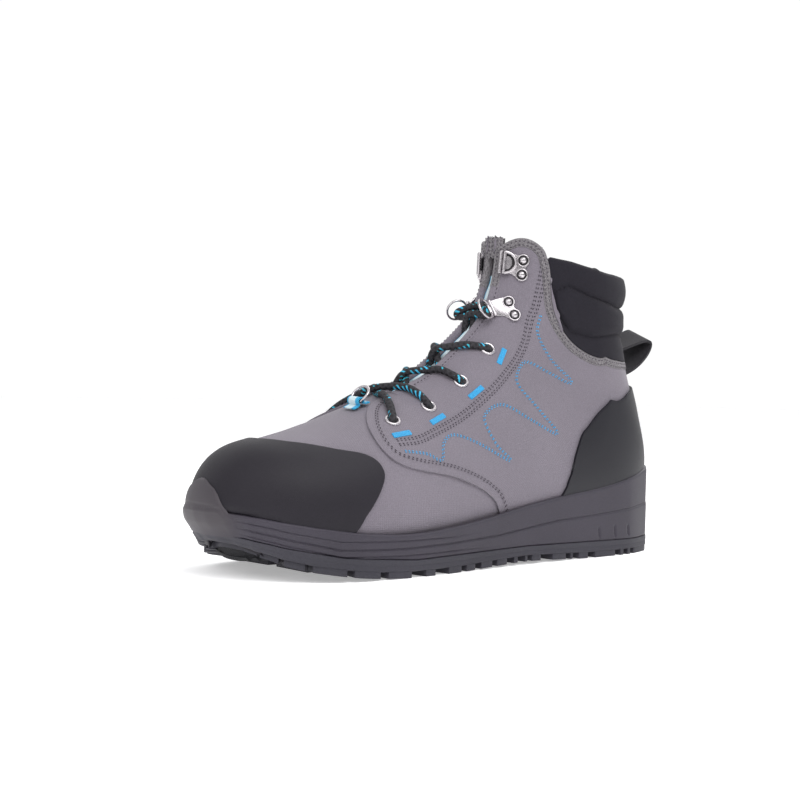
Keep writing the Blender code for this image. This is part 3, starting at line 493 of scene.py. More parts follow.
CLOTH = woven("grey_cloth", GREY, 0.72, 260.0, 0.00012, 0.05)
CLOTH_EDGE = woven("folded_cloth", tone(GREY, 1.04), 0.76, 260.0, 0.00012, 0.08)
FELT = woven("felt_binding", (0.178, 0.166, 0.176), 0.95, 330.0, 0.00030, 0.22, sheen=0.20)
CAP = grained("grained_cap", (0.0115, 0.0095, 0.0145), 0.55, 2600.0, 0.00012)
HEEL = grained("smooth_heel_panel", (0.0095, 0.0090, 0.0135), 0.45, 3200.0, 0.00005)
RUBBER = grained("sole_rubber", (0.042, 0.037, 0.050), 0.50, 1900.0, 0.00006)
RUBBER = paler_toe(RUBBER, (0.055, 0.048, 0.056))
OUTSOLE = grained("outsole_rubber", (0.040, 0.038, 0.049), 0.58, 1500.0, 0.00010)
NEOPRENE = woven("collar_neoprene", (0.015, 0.0135, 0.019), 0.85, 420.0, 0.00010, 0.06, sheen=0.03)
LINING = woven("lining_knit", (0.020, 0.020, 0.023), 0.90, 300.0, 0.00020, 0.15)
FOOTBED = woven("footbed_knit", (0.030, 0.030, 0.034), 0.92, 240.0, 0.00025, 0.20)
BLUE = woven("blue_thread", (0.035, 0.34, 0.66), 0.55, 900.0, 0.00020, 0.06)
GREY_THREAD = grained("grey_thread", (0.070, 0.060, 0.075), 0.75, 4000.0, 0.00004)
WEBBING = woven("black_webbing", (0.020, 0.018, 0.023), 0.85, 420.0, 0.00030, 0.12)


def steel(name):
    made, tree, shader = blank(name)
    scratch = noise(tree, 400.0, 3.0, 0.6)
    colours = ramp(tree, scratch, "Fac", [(0.3, (0.50, 0.47, 0.49)), (0.7, (0.60, 0.57, 0.59))])
    link(tree, colours, "Color", shader, "Base Color")
    shader.inputs["Metallic"].default_value = 1.0
    gloss = node(tree, "ShaderNodeMapRange", **{"To Min": 0.22, "To Max": 0.32})
    link(tree, scratch, "Fac", gloss, "Value")
    link(tree, gloss, "Result", shader, "Roughness")
    bump(tree, shader, scratch, "Fac", 0.06, 0.00002)
    return made


STEEL = steel("plated_steel")
# Near-black steel for the discs painted as shade in the hooks' hollows
PAINTED_SHADE_STEEL = grained("painted_shade_steel", (0.020, 0.018, 0.021), 0.55, 900.0, 0.00003)


def lace_finish():
    """Black braid, painted darker between its strands as shade, with clusters of slanted teal and blue
    dashes, on its map: metres along, turns round.
    """
    made, tree, shader = blank("flecked_braid")
    strands = []
    for slant in (38.0, -38.0):
        strand = node(tree, "ShaderNodeTexWave", Scale=130.0, Distortion=0.0)
        mapping = coordinates(tree, (1.0, 0.012, 1.0), "UV", (0.0, 0.0, math.radians(slant)))
        link(tree, mapping, "Vector", strand, "Vector")
        strands.append(strand)
    top = sum_of(tree, "MAXIMUM", (strands[0], "Fac"), (strands[1], "Fac"))
    cluster = node(tree, "ShaderNodeTexNoise", Scale=1.0, Detail=0.0)
    link(tree, coordinates(tree, (150.0, 2.4, 1.0), "UV"), "Vector", cluster, "Vector")
    inside = sum_of(tree, "GREATER_THAN", (cluster, "Fac"), 0.60)
    lit = sum_of(tree, "GREATER_THAN", (strands[0], "Fac"), 0.70)
    both = sum_of(tree, "MULTIPLY", (lit, "Value"), (inside, "Value"))
    fleck = ramp(tree, cluster, "Fac", [(0.58, (0.02, 0.36, 0.40)), (0.70, (0.05, 0.45, 0.72))])
    # Painted shade: the braid's colour darkens in the grooves between the strands, from the same pattern as
    # its bump.
    base = ramp(tree, top, "Value", [(0.2, (0.004, 0.004, 0.006)), (0.9, (0.022, 0.020, 0.025))])
    blend = mix(tree, (both, "Value"), (base, "Color"), (fleck, "Color"))
    tree.links.new(blend.outputs[2], shader.inputs["Base Color"])
    shader.inputs["Roughness"].default_value = 0.78
    bump(tree, shader, top, "Value", 0.7, 0.00025)
    return made


LACE = lace_finish()


def striped():
    """Webbing with a white middle and blue edges, across its own map."""
    made = woven("striped_webbing", (0.55, 0.70, 0.78), 0.6, 420.0, 0.0002, 0.05)
    tree = made.node_tree
    shader = tree.nodes["Principled BSDF"]
    place = node(tree, "ShaderNodeTexCoord")
    parts = node(tree, "ShaderNodeSeparateXYZ")
    link(tree, place, "UV", parts, "Vector")
    share = node(tree, "ShaderNodeMapRange", **{"From Min": -0.0048, "From Max": 0.0048})
    link(tree, parts, "Y", share, "Value")
    white, blue = (0.62, 0.74, 0.78), (0.03, 0.36, 0.62)
    stops = [(0.10, blue), (0.18, white), (0.66, white), (0.74, blue), (0.92, blue)]
    stripes = ramp(tree, share, "Result", stops)
    link(tree, stripes, "Color", shader, "Base Color")
    return made


STRIPED = striped()


# Meshes


def declared(made, finish, replaced):
    """Gives an object its finish, its body and the nodes it replaces."""
    made.data.materials.clear()
    made.data.materials.append(finish)
    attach(made, "root")
    if replaced:
        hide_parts(*replaced)
    return made


def placed(name, mesh):
    made = bpy.data.objects.new(name, mesh)
    bpy.context.scene.collection.objects.link(made)
    return made


def object_of(name, mesh, finish, replaced=()):
    return declared(placed(name, mesh), finish, replaced)


def along_rows(points, axis):
    """Distances travelled along one axis of a grid of points, from zero."""
    steps = np.linalg.norm(np.diff(points, axis=axis), axis=2)
    start = np.zeros_like(np.take(steps, [0], axis=axis))
    return np.concatenate([start, np.cumsum(steps, axis)], axis)


def grid_mesh(name, points, close_columns=False, close_rows=False, uv=None):
    """A mesh from a grid of points, rows by columns, with metres or a given map as its UV."""
    rows, columns = points.shape[:2]
    if uv is None:
        uv = np.stack([along_rows(points, 1), along_rows(points, 0)], axis=2)
    row_end = rows if close_rows else rows - 1
    column_end = columns if close_columns else columns - 1
    here, right = np.meshgrid(np.arange(row_end), np.arange(column_end), indexing="ij")
    below, beyond = (here + 1) % rows, (right + 1) % columns
    corners = ((here, right), (here, beyond), (below, beyond), (below, right))
    faces = np.stack([row * columns + column for row, column in corners], axis=-1).reshape(-1, 4)
    mesh = bpy.data.meshes.new(name)
    mesh.from_pydata(points.reshape(-1, 3).tolist(), [], faces.tolist())
    layer = mesh.uv_layers.new(name="UVMap")
    corner = np.stack([uv[row, column] for row, column in corners], axis=2)
    layer.data.foreach_set("uv", corner.reshape(-1).astype(np.float32))
    return mesh


def tidy(mesh, outward=None, merge=MERGE):
    """Merges what meets, drops loose points and turns the faces out, by a given test if there is one."""
    shape = bmesh.new()
    shape.from_mesh(mesh)
    bmesh.ops.remove_doubles(shape, verts=shape.verts, dist=merge)
    loose = [vert for vert in shape.verts if not vert.link_faces]
    bmesh.ops.delete(shape, geom=loose, context="VERTS")
    bmesh.ops.recalc_face_normals(shape, faces=shape.faces)
    if outward is not None and outward(shape) < 0.0:
        bmesh.ops.reverse_faces(shape, faces=shape.faces)
    shape.to_mesh(mesh)
    shape.free()
    return mesh


def away_from_middle(shape):
    """Above zero where faces look away from a middle line through the boot, by a sample of them."""
    total = 0.0
    for face in list(shape.faces)[:: max(1, len(shape.faces) // 400)]:
        centre = face.calc_center_median()
        height = 0.045 if centre.y < -0.09 else max(0.045, centre.z - 0.01)
        middle = Vector((0.0, centre.y * 0.9, height))
        total += face.normal.dot(centre - middle) * face.calc_area()
    return total


def turned_out(mesh):
    """A closed mesh with all its faces looking out."""
    shape = bmesh.new()
    shape.from_mesh(mesh)
    bmesh.ops.recalc_face_normals(shape, faces=shape.faces)
    shape.to_mesh(mesh)
    shape.free()


def finish_with(piece, *steps):
    """Adds modifiers by name and settings, applies each, and shades the piece smooth."""
    bpy.context.view_layer.objects.active = piece
    piece.select_set(True)
    for number, (kind, settings) in enumerate(steps):
        step = piece.modifiers.new(f"step_{number}", kind)
        for key, value in settings.items():
            setattr(step, key, value)
        bpy.ops.object.modifier_apply(modifier=step.name)
    bpy.ops.object.shade_smooth_by_angle(angle=SMOOTH_ANGLE)
    piece.select_set(False)
    return piece


def rounded(width, segments):
    """Settings of a bevel on the sharp edges."""
    return {"width": width, "segments": segments, "limit_method": "ANGLE"}


def panel(name, grid, finish, lift, thickness, replaced=(), edge=0.00035, relief=None):
    """A sheet on the last from a grid of section and angle, with its thickness inwards and round edges."""
    points = on_last(grid, lift)
    if relief is not None:
        points = points + relief(grid)[..., None] * last_normal(grid[..., 0], grid[..., 1])
    mesh = tidy(grid_mesh(name, points), away_from_middle)
    made = object_of(name, mesh, finish, replaced)
    steps = [("SOLIDIFY", {"thickness": thickness, "offset": -1.0, "use_quality_normals": True})]
    if edge:
        steps.append(("BEVEL", {**rounded(edge, 2), "angle_limit": math.radians(55.0)}))
    return finish_with(made, *steps)


def patch(low, high, rows, columns, start=None, end=None):
    """A grid of section and angle between a low and a high line, with shaped ends if they are given."""
    t = np.linspace(0.0, 1.0, columns)
    v = np.linspace(0.0, 1.0, rows)[:, None, None]
    low, high = even(low, columns), even(high, columns)
    grid = (1.0 - v) * low[None] + v * high[None]
    for side, weight, ends in ((start, 1.0 - t, (low[0], high[0])), (end, t, (low[-1], high[-1]))):
        if side is not None:
            side = even(side, rows)
            straight = (1.0 - v[:, 0]) * ends[0] + v[:, 0] * ends[1]
            grid += (side - straight)[:, None, :] * weight[None, :, None]
    return grid


def both_sides(grid):
    """A grid of the outer side joined round the back to its mirror image on the inner side."""
    mirror = grid[:, ::-1].copy()
    mirror[..., 1] = math.pi - mirror[..., 1]
    mirror[..., 1] -= 2.0 * math.pi
    return np.concatenate([grid, mirror[:, 1:]], axis=1)


def band(name, line, profile, finish):
    """A strip along a line on the last. Its profile gives distance to the left and lift, in millimetres."""
    columns = []
    for across, lift in profile:
        moved = beside(line, across * MM) if abs(across) > 1e-6 else line
        columns.append(on_last(moved, lift * MM))
    points = np.stack(columns, axis=1)
    return finish_with(object_of(name, tidy(grid_mesh(name, points)), finish))


def cap_ends(mesh):
    shape = bmesh.new()
    shape.from_mesh(mesh)
    loose = [edge for edge in shape.edges if edge.is_boundary]
    if loose:
        bmesh.ops.holes_fill(shape, edges=loose, sides=0)
    bmesh.ops.recalc_face_normals(shape, faces=shape.faces)
    shape.to_mesh(mesh)
    shape.free()


def joined(name, pieces):
    """Several objects made one."""
    for piece in pieces:
        piece.select_set(True)
    bpy.context.view_layer.objects.active = pieces[0]
    bpy.ops.object.join()
    pieces[0].name = name
    pieces[0].data.name = name
    pieces[0].select_set(False)
    return pieces[0]


# Upper


def quarter_grid():
    """The outer quarter and facing, from its foot line to the ear and the collar's seam."""
    throat = slit_line(FOOT_OF_SLIT, TOP_OF_SLIT, 60)
    front = curve_through(FACING_FRONT)
    front[0] = throat[0]
    ear = curve_through(EAR_TOP)
    ear[0] = throat[-1]
    back = curve_through(EAR_BACK)
    foot = pin([(44, 148, 22), (40, 100, 20), (33, 30, 22), (18, 4, 26), (0, 0.5, 28)])
    foot = smooth_rows(foot, np.linspace(0, len(foot) - 1, 49))
    foot[-1, 1] = back[-1, 1] = BACK
    low = np.concatenate([even(front, 60), even(foot, 60)[1:]])
    high = np.concatenate([even(ear, 30), even(back, 90)[1:]])
    spine = np.stack([np.linspace(low[-1, 0], high[-1, 0], 40), np.full(40, BACK)], axis=1)
    return relaxed(patch(low, high, 64, 150, throat, spine))


def relaxed(grid):
    """Evens out a grid inside its border, so its columns don't fold over each other."""
    grid = grid.copy()
    for _ in range(500):
        middle = grid[1:-1, :-2] + grid[1:-1, 2:] + grid[:-2, 1:-1] + grid[2:, 1:-1]
        grid[1:-1, 1:-1] = 0.25 * middle
    return grid


def build_quarter():
    grid = both_sides(quarter_grid())
    return panel("quarter", grid, CLOTH, QUARTER_LIFT, QUARTER_THICKNESS, ("upper",))


def vamp_grid():
    """The vamp from near the toe's tip to under the quarter, whose hidden end lies higher at the sides."""
    angles = np.radians(np.linspace(-48.0, 228.0, 150))
    turn = np.abs(np.degrees(angles) - 90.0)
    end = np.interp(turn, [0, 20, 45, 90, 120, 138], [7.05, 7.2, 7.7, 8.9, 9.4, 9.6])
    share = np.linspace(0.0, 1.0, 110)[:, None]
    section = 0.35 + (end[None] - 0.35) * share
    return np.stack([section, np.broadcast_to(angles, section.shape)], axis=2)


# The vamp's creases: section, its change by angle, depth in millimetres, width, then middle angle and spread
CREASES = [
    (6.05, 0.010, 0.35, 0.10, 52, 30), (5.55, 0.006, 0.22, 0.12, 120, 34),
    (6.35, -0.006, 0.25, 0.09, 132, 28), (7.4, 0.020, 0.30, 0.14, 10, 26), (6.9, 0.015, 0.22, 0.12, -6, 22),
]


def vamp_creases(grid):
    """Soft troughs across the vamp where the foot bends."""
    section, angle = grid[..., 0], np.degrees(grid[..., 1])
    relief = np.zeros_like(section)
    for at, lean, depth, width, centre, spread in CREASES:
        place = at + lean * (angle - centre)
        relief -= depth * MM * np.exp(-((section - place) / width) ** 2 - ((angle - centre) / spread) ** 2)
    return relief


def build_vamp():
    grid = vamp_grid()
    return panel("vamp", grid, CLOTH, 0.0, VAMP_THICKNESS, edge=None, relief=vamp_creases)


def cap_grid(line, rows, columns):
    """From the toe's tip to a line round the toe, whose outer half is given and inner half is its mirror."""
    degrees = np.linspace(-50.0, 230.0, columns)
    folded = np.where(degrees > 90.0, 180.0 - degrees, degrees)
    order = np.argsort(line[:, 1])
    end = np.interp(np.radians(folded), line[order, 1], line[order, 0])
    share = np.linspace(0.0, 1.0, rows)[:, None] ** 0.8
    section = end[None] * share
    return np.stack([section, np.broadcast_to(np.radians(degrees), section.shape)], axis=2)


def build_toe_cap():
    grid = cap_grid(curve_through(CAP_LINE), 72, 150)
    return panel("toe_cap", grid, CAP, CAP_LIFT, CAP_THICKNESS, ("toe_cap",),
                 OVERLAY_EDGE)


def build_counter():
    grid = patch(curve_through(COUNTER_FOOT), curve_through(COUNTER_TOP), 48, 70)
    grid[:, -1, 1] = BACK
    return panel("heel_counter", both_sides(grid), HEEL, COUNTER_LIFT, COUNTER_THICKNESS,
                 ("heel_counter",), OVERLAY_EDGE)


# Collar


def pad_lift(grid, top_fade):
    """The collar's swell: a roll under its rim and a pad with a seam round it."""
    points = on_last(grid)
    along = (HEEL_REST - points[..., 1]) / MM
    up = points[..., 2] / MM
    pad_top = np.interp(along, [20, 52, 75, 88, 94], [143.0, 143.5, 148.0, 153.5, 150.0])
    pad_foot = np.interp(along, [20, 52, 73, 87, 92, 94], [127.5, 127.5, 125.0, 128.0, 137.0, 143.0])
    inside = np.minimum(np.minimum(up - pad_foot, pad_top - up), (94.5 - along) * 0.8)
    swell = np.clip(inside / 5.5, 0.0, 1.0)
    swell = 2.3 * swell * (2.0 - swell)
    seam = -0.8 * np.exp(-(np.abs(inside) / 0.9) ** 2)
    roll_share = np.clip((up - pad_top) / 18.0, 0.0, 1.0)
    roll = 2.4 * np.sin(math.pi * roll_share) ** 0.7 * np.clip((98.0 - along) / 32.0, 0.0, 1.0)
    foot = 0.8 * np.clip(-inside / 8.0, 0.0, 1.0) * (up < pad_foot)
    return (1.0 + swell + seam + roll + foot) * MM * top_fade


def build_collar():
    """The padded collar: its outer face, the roll of its rim and its inner face, thin at both ends."""
    low = beside(curve_through(EAR_BACK), 0.4 * MM)
    high = beside(curve_through(COLLAR_RIM), -3.2 * MM)
    low[-1, 1] = high[-1, 1] = BACK
    grid = both_sides(patch(low, high, 56, 80))
    share = np.abs(np.linspace(-1.0, 1.0, grid.shape[1]))
    thin = np.clip((1.0 - share) / 0.16, 0.0, 1.0) ** 0.6
    outer = on_last(grid, pad_lift(grid, 0.35 + 0.65 * thin[None, :]))
    top = outer[-1]
    inner_line = grid[-1]
    depth = 0.0016 + 0.0054 * thin
    inner_top = on_last(inner_line, -depth)
    normal = last_normal(inner_line[:, 0], inner_line[:, 1])
    rising = unit(outer[-1] - outer[-4])
    rising = unit(rising - normal * np.sum(rising * normal, -1, keepdims=True))
    middle = (top + inner_top) / 2.0
    radius = np.linalg.norm(top - inner_top, axis=1, keepdims=True) / 2.0
    outward = unit(top - inner_top)
    roll = []
    for turn in np.radians(np.linspace(0.0, 180.0, 11))[1:-1]:
        roll.append(middle + radius * (math.cos(turn) * outward + 0.75 * math.sin(turn) * rising))
    sink = []
    for step in range(13):
        lower = grid[-1].copy()
        lower[:, 0] -= step * 0.34
        sink.append(on_last(lower, -depth - 0.0004 * math.sin(step)))
    points = np.concatenate([outer, np.array(roll), np.array(sink)])
    mesh = tidy(grid_mesh("collar", points))
    made = object_of("collar", mesh, NEOPRENE, ("collar",))
    finish_with(made)
    return made


def binding_profile(width, over, under):
    """A felt strip folded over an edge: its outer face, its round edge and its inner face."""
    top, low = 1.75, -2.75
    middle, half = (top + low) / 2.0, (top - low) / 2.0
    round_edge = []
    for turn in np.radians(np.linspace(90.0, -90.0, 9)):
        round_edge.append((over + 1.1 * math.cos(turn) - 1.1, middle + half * math.sin(turn)))
    outer_face = [(-width, 1.15), (-width + 0.25, 1.62), (-width * 0.5, top)]
    inner_face = [(-under * 0.5, low), (-under + 0.25, low + 0.1), (-under, -2.3)]
    return outer_face + round_edge + inner_face


def felt_line(start):
    """The felt's edge: up the slit from a section number, over the ear and round to the back."""
    slit = slit_line(start, TOP_OF_SLIT, 40)
    ear, seam = even(curve_through(EAR_TOP), 40), even(curve_through(EAR_BACK), 120)
    line = np.concatenate([slit, ear[1:], seam[1:]])
    line[-1, 1] = BACK
    return softened(even(line, 300))


def build_bindings():
    """Felt folded over the ear and along the collar's seam, and a folded cloth edge along the slit."""
    felt = felt_line(11.9)
    slit = even(slit_line(6.95, 12.1, 80), 120)
    for side, outer, sign in SIDES:
        profile = [(sign * across, lift) for across, lift in binding_profile(4.4, 0.7, 4.4)]
        band(f"felt_binding_{side}", side_of(felt, outer), profile, FELT)
        profile = [(sign * across, lift - 0.25) for across, lift in binding_profile(5.2, 0.5, 5.0)]
        band(f"slit_fold_{side}", side_of(slit, outer), profile, CLOTH_EDGE)


def softened(line):
    """A line with its corners eased."""
    line = line.copy()
    for _ in range(6):
        line[1:-1] = 0.5 * line[1:-1] + 0.25 * (line[:-2] + line[2:])
    return line


# Tongue


def build_tongue():
    """A padded leaf under the facings, higher along its middle."""
    sections = np.linspace(6.45, 14.1, 90)
    across = np.linspace(-1.0, 1.0, 44)
    half = np.interp(sections, [6.45, 8.0, 10.0, 15.35], [15.0, 19.0, 22.0, 23.5])[:, None] * MM
    x = across[None] * half
    rows = smooth_rows(SECTION, sections, mirrored=True)
    width = np.where(x >= 0.0, rows[:, 4:5], rows[:, 5:6]) * BALL_WIDTH
    bent = np.arccos(np.clip((np.abs(x) / width) ** (rows[:, 7:8] / 2.0), 0.0, 1.0))
    angle = np.where(x >= 0.0, bent, math.pi - bent)
    grid = np.stack([np.broadcast_to(sections[:, None], angle.shape), angle], axis=2)
    lift = TONGUE_CROWN * (1.0 - across**2)[None] - WALL - TONGUE_DEPTH
    lift = np.broadcast_to(lift, angle.shape)
    made = panel("tongue", grid, CLOTH, lift, TONGUE_THICKNESS, ("tongue",), 0.0012)
    return made


def build_tongue_tape():
    """A pale tape along the tongue's middle, with a blue edge each side."""
    sections = np.linspace(6.6, 12.6, 120)
    across = np.linspace(-2.9, 2.9, 9)
    grid = np.array([[across_top(section, x + 0.4) for x in across] for section in sections])
    wave = 0.25 * np.sin(sections * 5.0)[:, None] * np.ones(len(across))[None]
    points = on_last(grid, (-2.5 + wave) * MM)
    uv = np.stack(np.meshgrid(arc_length(points[:, 4]), across * MM * 1.6, indexing="ij"), axis=2)
    mesh = tidy(grid_mesh("tongue_tape", points, uv=uv))
    made = object_of("tongue_tape", mesh, STRIPED)
    return finish_with(made, ("SOLIDIFY", {"thickness": 0.0006, "offset": 0.0}))


# Cords and small repeated things


def frames_along(points):
    """Directions along a route, with a side direction that doesn't twist."""
    run = unit(np.gradient(points, axis=0))
    side = np.zeros_like(run)
    first = np.cross(run[0], (0.0, 0.0, 1.0))
    if np.linalg.norm(first) < 0.1:
        first = np.cross(run[0], (1.0, 0.0, 0.0))
    side[0] = unit(first)
    for index in range(1, len(points)):
        turned = side[index - 1] - run[index] * np.dot(side[index - 1], run[index])
        side[index] = unit(turned)
    return run, side, np.cross(run, side)


def cord_mesh(name, points, width, finish, replaced, sides, flat):
    """A slightly flat cord through its points, with round ends."""
    points = np.asarray(points, float)
    run, side, above = frames_along(points)
    radius = np.full(len(points), width / 2.0)
    travelled = arc_length(points)
    start, stop = points[0] - run[0] * width * 0.18, points[-1] + run[-1] * width * 0.18
    points = np.concatenate([[start], points, [stop]])
    side = np.concatenate([side[:1], side, side[-1:]])
    above = np.concatenate([above[:1], above, above[-1:]])
    radius = np.concatenate([[width * 0.3], radius, [width * 0.3]])
    travelled = np.concatenate([[-width * 0.2], travelled, [travelled[-1] + width * 0.2]])
    turns = np.linspace(0.0, 2.0 * math.pi, sides + 1)
    turned = turns[None, :, None]
    ring = radius[:, None, None] * (np.cos(turned) * side[:, None] + flat * np.sin(turned) * above[:, None])
    uv = np.stack(np.meshgrid(travelled, turns / (2.0 * math.pi), indexing="ij"), axis=2)
    mesh = tidy(grid_mesh(name, points[:, None] + ring, uv=uv), merge=FINE_MERGE)
    cap_ends(mesh)
    return finish_with(object_of(name, mesh, finish, replaced))


def smooth_route(points):
    """A smooth dense line through a route's points."""
    at = np.linspace(0.0, len(points) - 1.0, (len(points) - 1) * 9 + 1)
    return smooth_rows(np.asarray(points, float), at)


def stitch_shape(length, width):
    """One stitch lying along X: a small round bar that dips at both ends."""
    shape = bmesh.new()
    bmesh.ops.create_uvsphere(shape, u_segments=6, v_segments=5, radius=0.5)
    bmesh.ops.transform(shape, matrix=Matrix.Rotation(math.pi / 2.0, 4, "Y"), verts=shape.verts)
    for vert in shape.verts:
        vert.co = Vector((vert.co.x * length, vert.co.y * width, vert.co.z * width * 0.8))
    mesh = bpy.data.meshes.new("stitch")
    shape.to_mesh(mesh)
    shape.free()
    co = np.array([vert.co[:] for vert in mesh.vertices])
    faces = [tuple(face.vertices) for face in mesh.polygons]
    bpy.data.meshes.remove(mesh)
    return co, faces


def stitches(name, lines, lift, finish, pitch, length, width):
    """Rows of stitches along lines on the last, joined as one mesh."""
    co, faces = stitch_shape(length, width)
    verts, polygons = [], []
    for line in lines:
        count = max(int(long(line) / pitch), 2)
        places = even(line, count)
        points = on_last(places, lift)
        run = unit(np.gradient(points, axis=0))
        normal = last_normal(places[:, 0], places[:, 1])
        side = unit(np.cross(normal, run))
        for point, x, y, z in zip(points, run, side, normal):
            base = len(verts)
            verts.extend((point + co[:, 0:1] * x + co[:, 1:2] * y + co[:, 2:3] * z).tolist())
            polygons.extend(tuple(base + index for index in face) for face in faces)
    mesh = bpy.data.meshes.new(name)
    mesh.from_pydata(verts, [], polygons)
    made = object_of(name, mesh, finish)
    return finish_with(made)


# Sole


def outline_points(count):
    """The sole's outline from above, from the heel's back round the outer side, with outward directions."""
    along = LENGTH * (1.0 - np.cos(np.linspace(0.0, math.pi, 500))) / 2.0
    rows = sole_row(along)
    outer = np.stack([rows[:, 0], along], axis=1)
    inner = np.stack([-rows[:, 1], along], axis=1)[::-1]
    ring = np.concatenate([outer, inner])
    ring = np.concatenate([ring, ring[:1]])
    travelled = arc_length(ring)
    at = np.linspace(0.0, travelled[-1], count + 1)[:-1]
    plan = np.stack([np.interp(at, travelled, ring[:, 0]), np.interp(at, travelled, ring[:, 1])], axis=1)
    for _ in range(count // 110):
        plan = 0.5 * plan + 0.25 * (np.roll(plan, 1, 0) + np.roll(plan, -1, 0))
    run = np.roll(plan, -1, 0) - np.roll(plan, 1, 0)
    outward = unit(np.stack([run[:, 1], -run[:, 0]], axis=1))
    return plan, outward


def split_height(along):
    return np.interp(along / LENGTH, SPLIT_LINE[:, 0], SPLIT_LINE[:, 1]) * OUTSOLE_THICKNESS


# Where outsole and midsole meet, as a share of OUTSOLE_THICKNESS by share of LENGTH
SPLIT_LINE = np.array([
    (0.0, 1.15), (0.10, 1.03), (0.42, 1.17), (0.70, 1.03), (0.84, 1.40), (0.93, 1.98), (1.0, 2.60),
])

# Grooves in the midsole's wall, in millimetres: places along and up, then from and to where each fades in
MAIN_GROOVE = [
    (0, 31), (15, 29), (50, 26), (77, 24), (104, 22.6), (153, 17.2), (192, 15.4), (225, 14.8),
    (262, 15.6), (285, 20.5), (300, 24.5), (310, 27.5),
]
HIGH_GROOVE = [
    (150, 21.5), (192, 18.6), (225, 18.7), (262, 19.6), (285, 24.0), (300, 28.0), (310, 30.6),
]
LOW_GROOVE = [
    (120, 12.5), (160, 11.6), (192, 11.4), (225, 11.2), (262, 12.2), (285, 17.4), (300, 21.4),
    (310, 24.6),
]
HEEL_NOTCHES = [(68.0, 10.5, 17.5), (54.0, 10.3, 17.9), (41.5, 10.8, 17.6)]
BACK_RIBS = [19.0, 22.4, 25.8, 34.0]


def hollow(distance, width):
    return np.exp(-((distance / width) ** 2))


def share_of(value, start, end):
    """How far a value has come from a start to an end, from 0 to 1."""
    return np.clip((value - start) / (end - start), 0.0, 1.0)


def toe_sweep(plan, up, top, under):
    """How far the sole's front curves back under the toe, in metres."""
    near_toe = np.clip((plan[:, 1] / MM - 262.0) / 46.0, 0.0, 1.0) ** 1.5
    down = np.clip((top - up) / np.maximum(top - under, 1e-4), 0.0, 1.0)
    return near_toe * (0.0016 + TOE_UNDERCUT * down**TOE_BEND)


def wall_inset(plan, up):
    """How far the midsole's wall stands back from its outline, in millimetres."""
    along = plan[:, 1][None] / MM
    up = up / MM
    sideways = np.abs(plan[:, 0])[None] / MM
    grooves = (MAIN_GROOVE, HIGH_GROOVE, LOW_GROOVE)
    main, high, low = (np.interp(along, *np.array(line).T) for line in grooves)
    deep = 0.75 * hollow(up - main, 0.55)
    deep += 0.60 * hollow(up - high, 0.42) * share_of(along, 168.0, 198.0)
    deep += 0.60 * hollow(up - low, 0.42) * share_of(along, 150.0, 186.0)
    deep += 0.35 * share_of(up - main, 0.0, 1.2) * share_of(along, 120.0, 60.0)
    from_tab = np.abs(plan[:, 0][None] - TAB_MIDDLE) / MM
    deep *= 1.0 - share_of(along, 285.0, 297.0) * share_of(from_tab, 36.0, 25.0)
    for place, foot, head in HEEL_NOTCHES:
        lean = place + 0.16 * (up - foot)
        inside = share_of(up, foot, foot + 1.2) * share_of(up, head, head - 1.2)
        deep += 0.9 * hollow(along - lean, 0.75) * inside
    for level in BACK_RIBS:
        deep += 0.9 * hollow(up - level - 0.12 * sideways, 0.8) * share_of(along, 7.0, 4.0)
    return deep


def build_midsole():
    """The cup's wall with its grooves, its top lip and the start of its inner face."""
    plan, outward = outline_points(1200)
    rows = sole_row(plan[:, 1])
    low = split_height(plan[:, 1]) + 0.0002
    top = rows[:, 2]
    main = np.interp(plan[:, 1] / MM, *np.array(MAIN_GROOVE).T) * MM
    under = np.linspace(1.0, 0.0, 26)[:, None] ** 1.25
    over = np.linspace(0.0, 1.0, 30)[1:, None] ** 1.25
    up = np.concatenate([main - under * (main - low)[None], main + over * (top - main)[None]])
    share = (up - low) / (top - low)
    from_top = (top[None] - up) / MM
    lip = 1.5 * (1.0 - np.sqrt(np.clip(1.0 - np.clip(1.0 - from_top / 1.7, 0.0, 1.0) ** 2, 0.0, 1.0)))
    foot = 0.5 * np.clip(1.0 - (up - low) / MM / 0.5, 0.0, 1.0)
    inset = (wall_inset(plan, up) + lip + foot + 0.45 * (1.0 - share)) * MM
    inset += toe_sweep(plan, up, top, rows[:, 4])
    at = plan[None] - outward[None] * inset[..., None]
    points = np.stack([at[..., 0], HEEL_REST - at[..., 1], up], axis=2)
    extra = []
    for back, drop in ((2.1, 0.0), (2.7, 0.2), (3.2, 1.2), (6.0, 5.0)):
        at = plan - outward * back * MM
        extra.append(np.stack([at[:, 0], HEEL_REST - at[:, 1], top - drop * MM], axis=1))
    mesh = tidy(grid_mesh("midsole", np.concatenate([points, np.array(extra)]), close_columns=True))
    made = object_of("midsole", mesh, RUBBER, ("midsole",))
    return finish_with(made)


# Gaps between the lugs along the sole's edge, in millimetres from the heel's back
LUG_GAPS = [
    (15, 17), (36, 39), (43, 45.5), (50, 54), (73, 77.5), (87, 91), (94, 97), (108.5, 117.8),
    (125.6, 128.6), (131.8, 136.4), (141, 145.7), (155, 158), (167.4, 172), (180, 183), (193.8, 203),
    (210.8, 220), (235.6, 240.2), (256, 259), (276, 279), (289, 291), (300, 301.5),
]


# The outsole's wall, from its top inwards to its face: inset in millimetres and share of its height
OUTSOLE_WALL = [
    (6.0, 1.0), (0.6, 1.0), (0.15, 0.94), (0.1, 0.62), (0.35, 0.52), (0.15, 0.42), (0.2, 0.1), (0.8, 0.0),
    (10.0, 0.0),
]


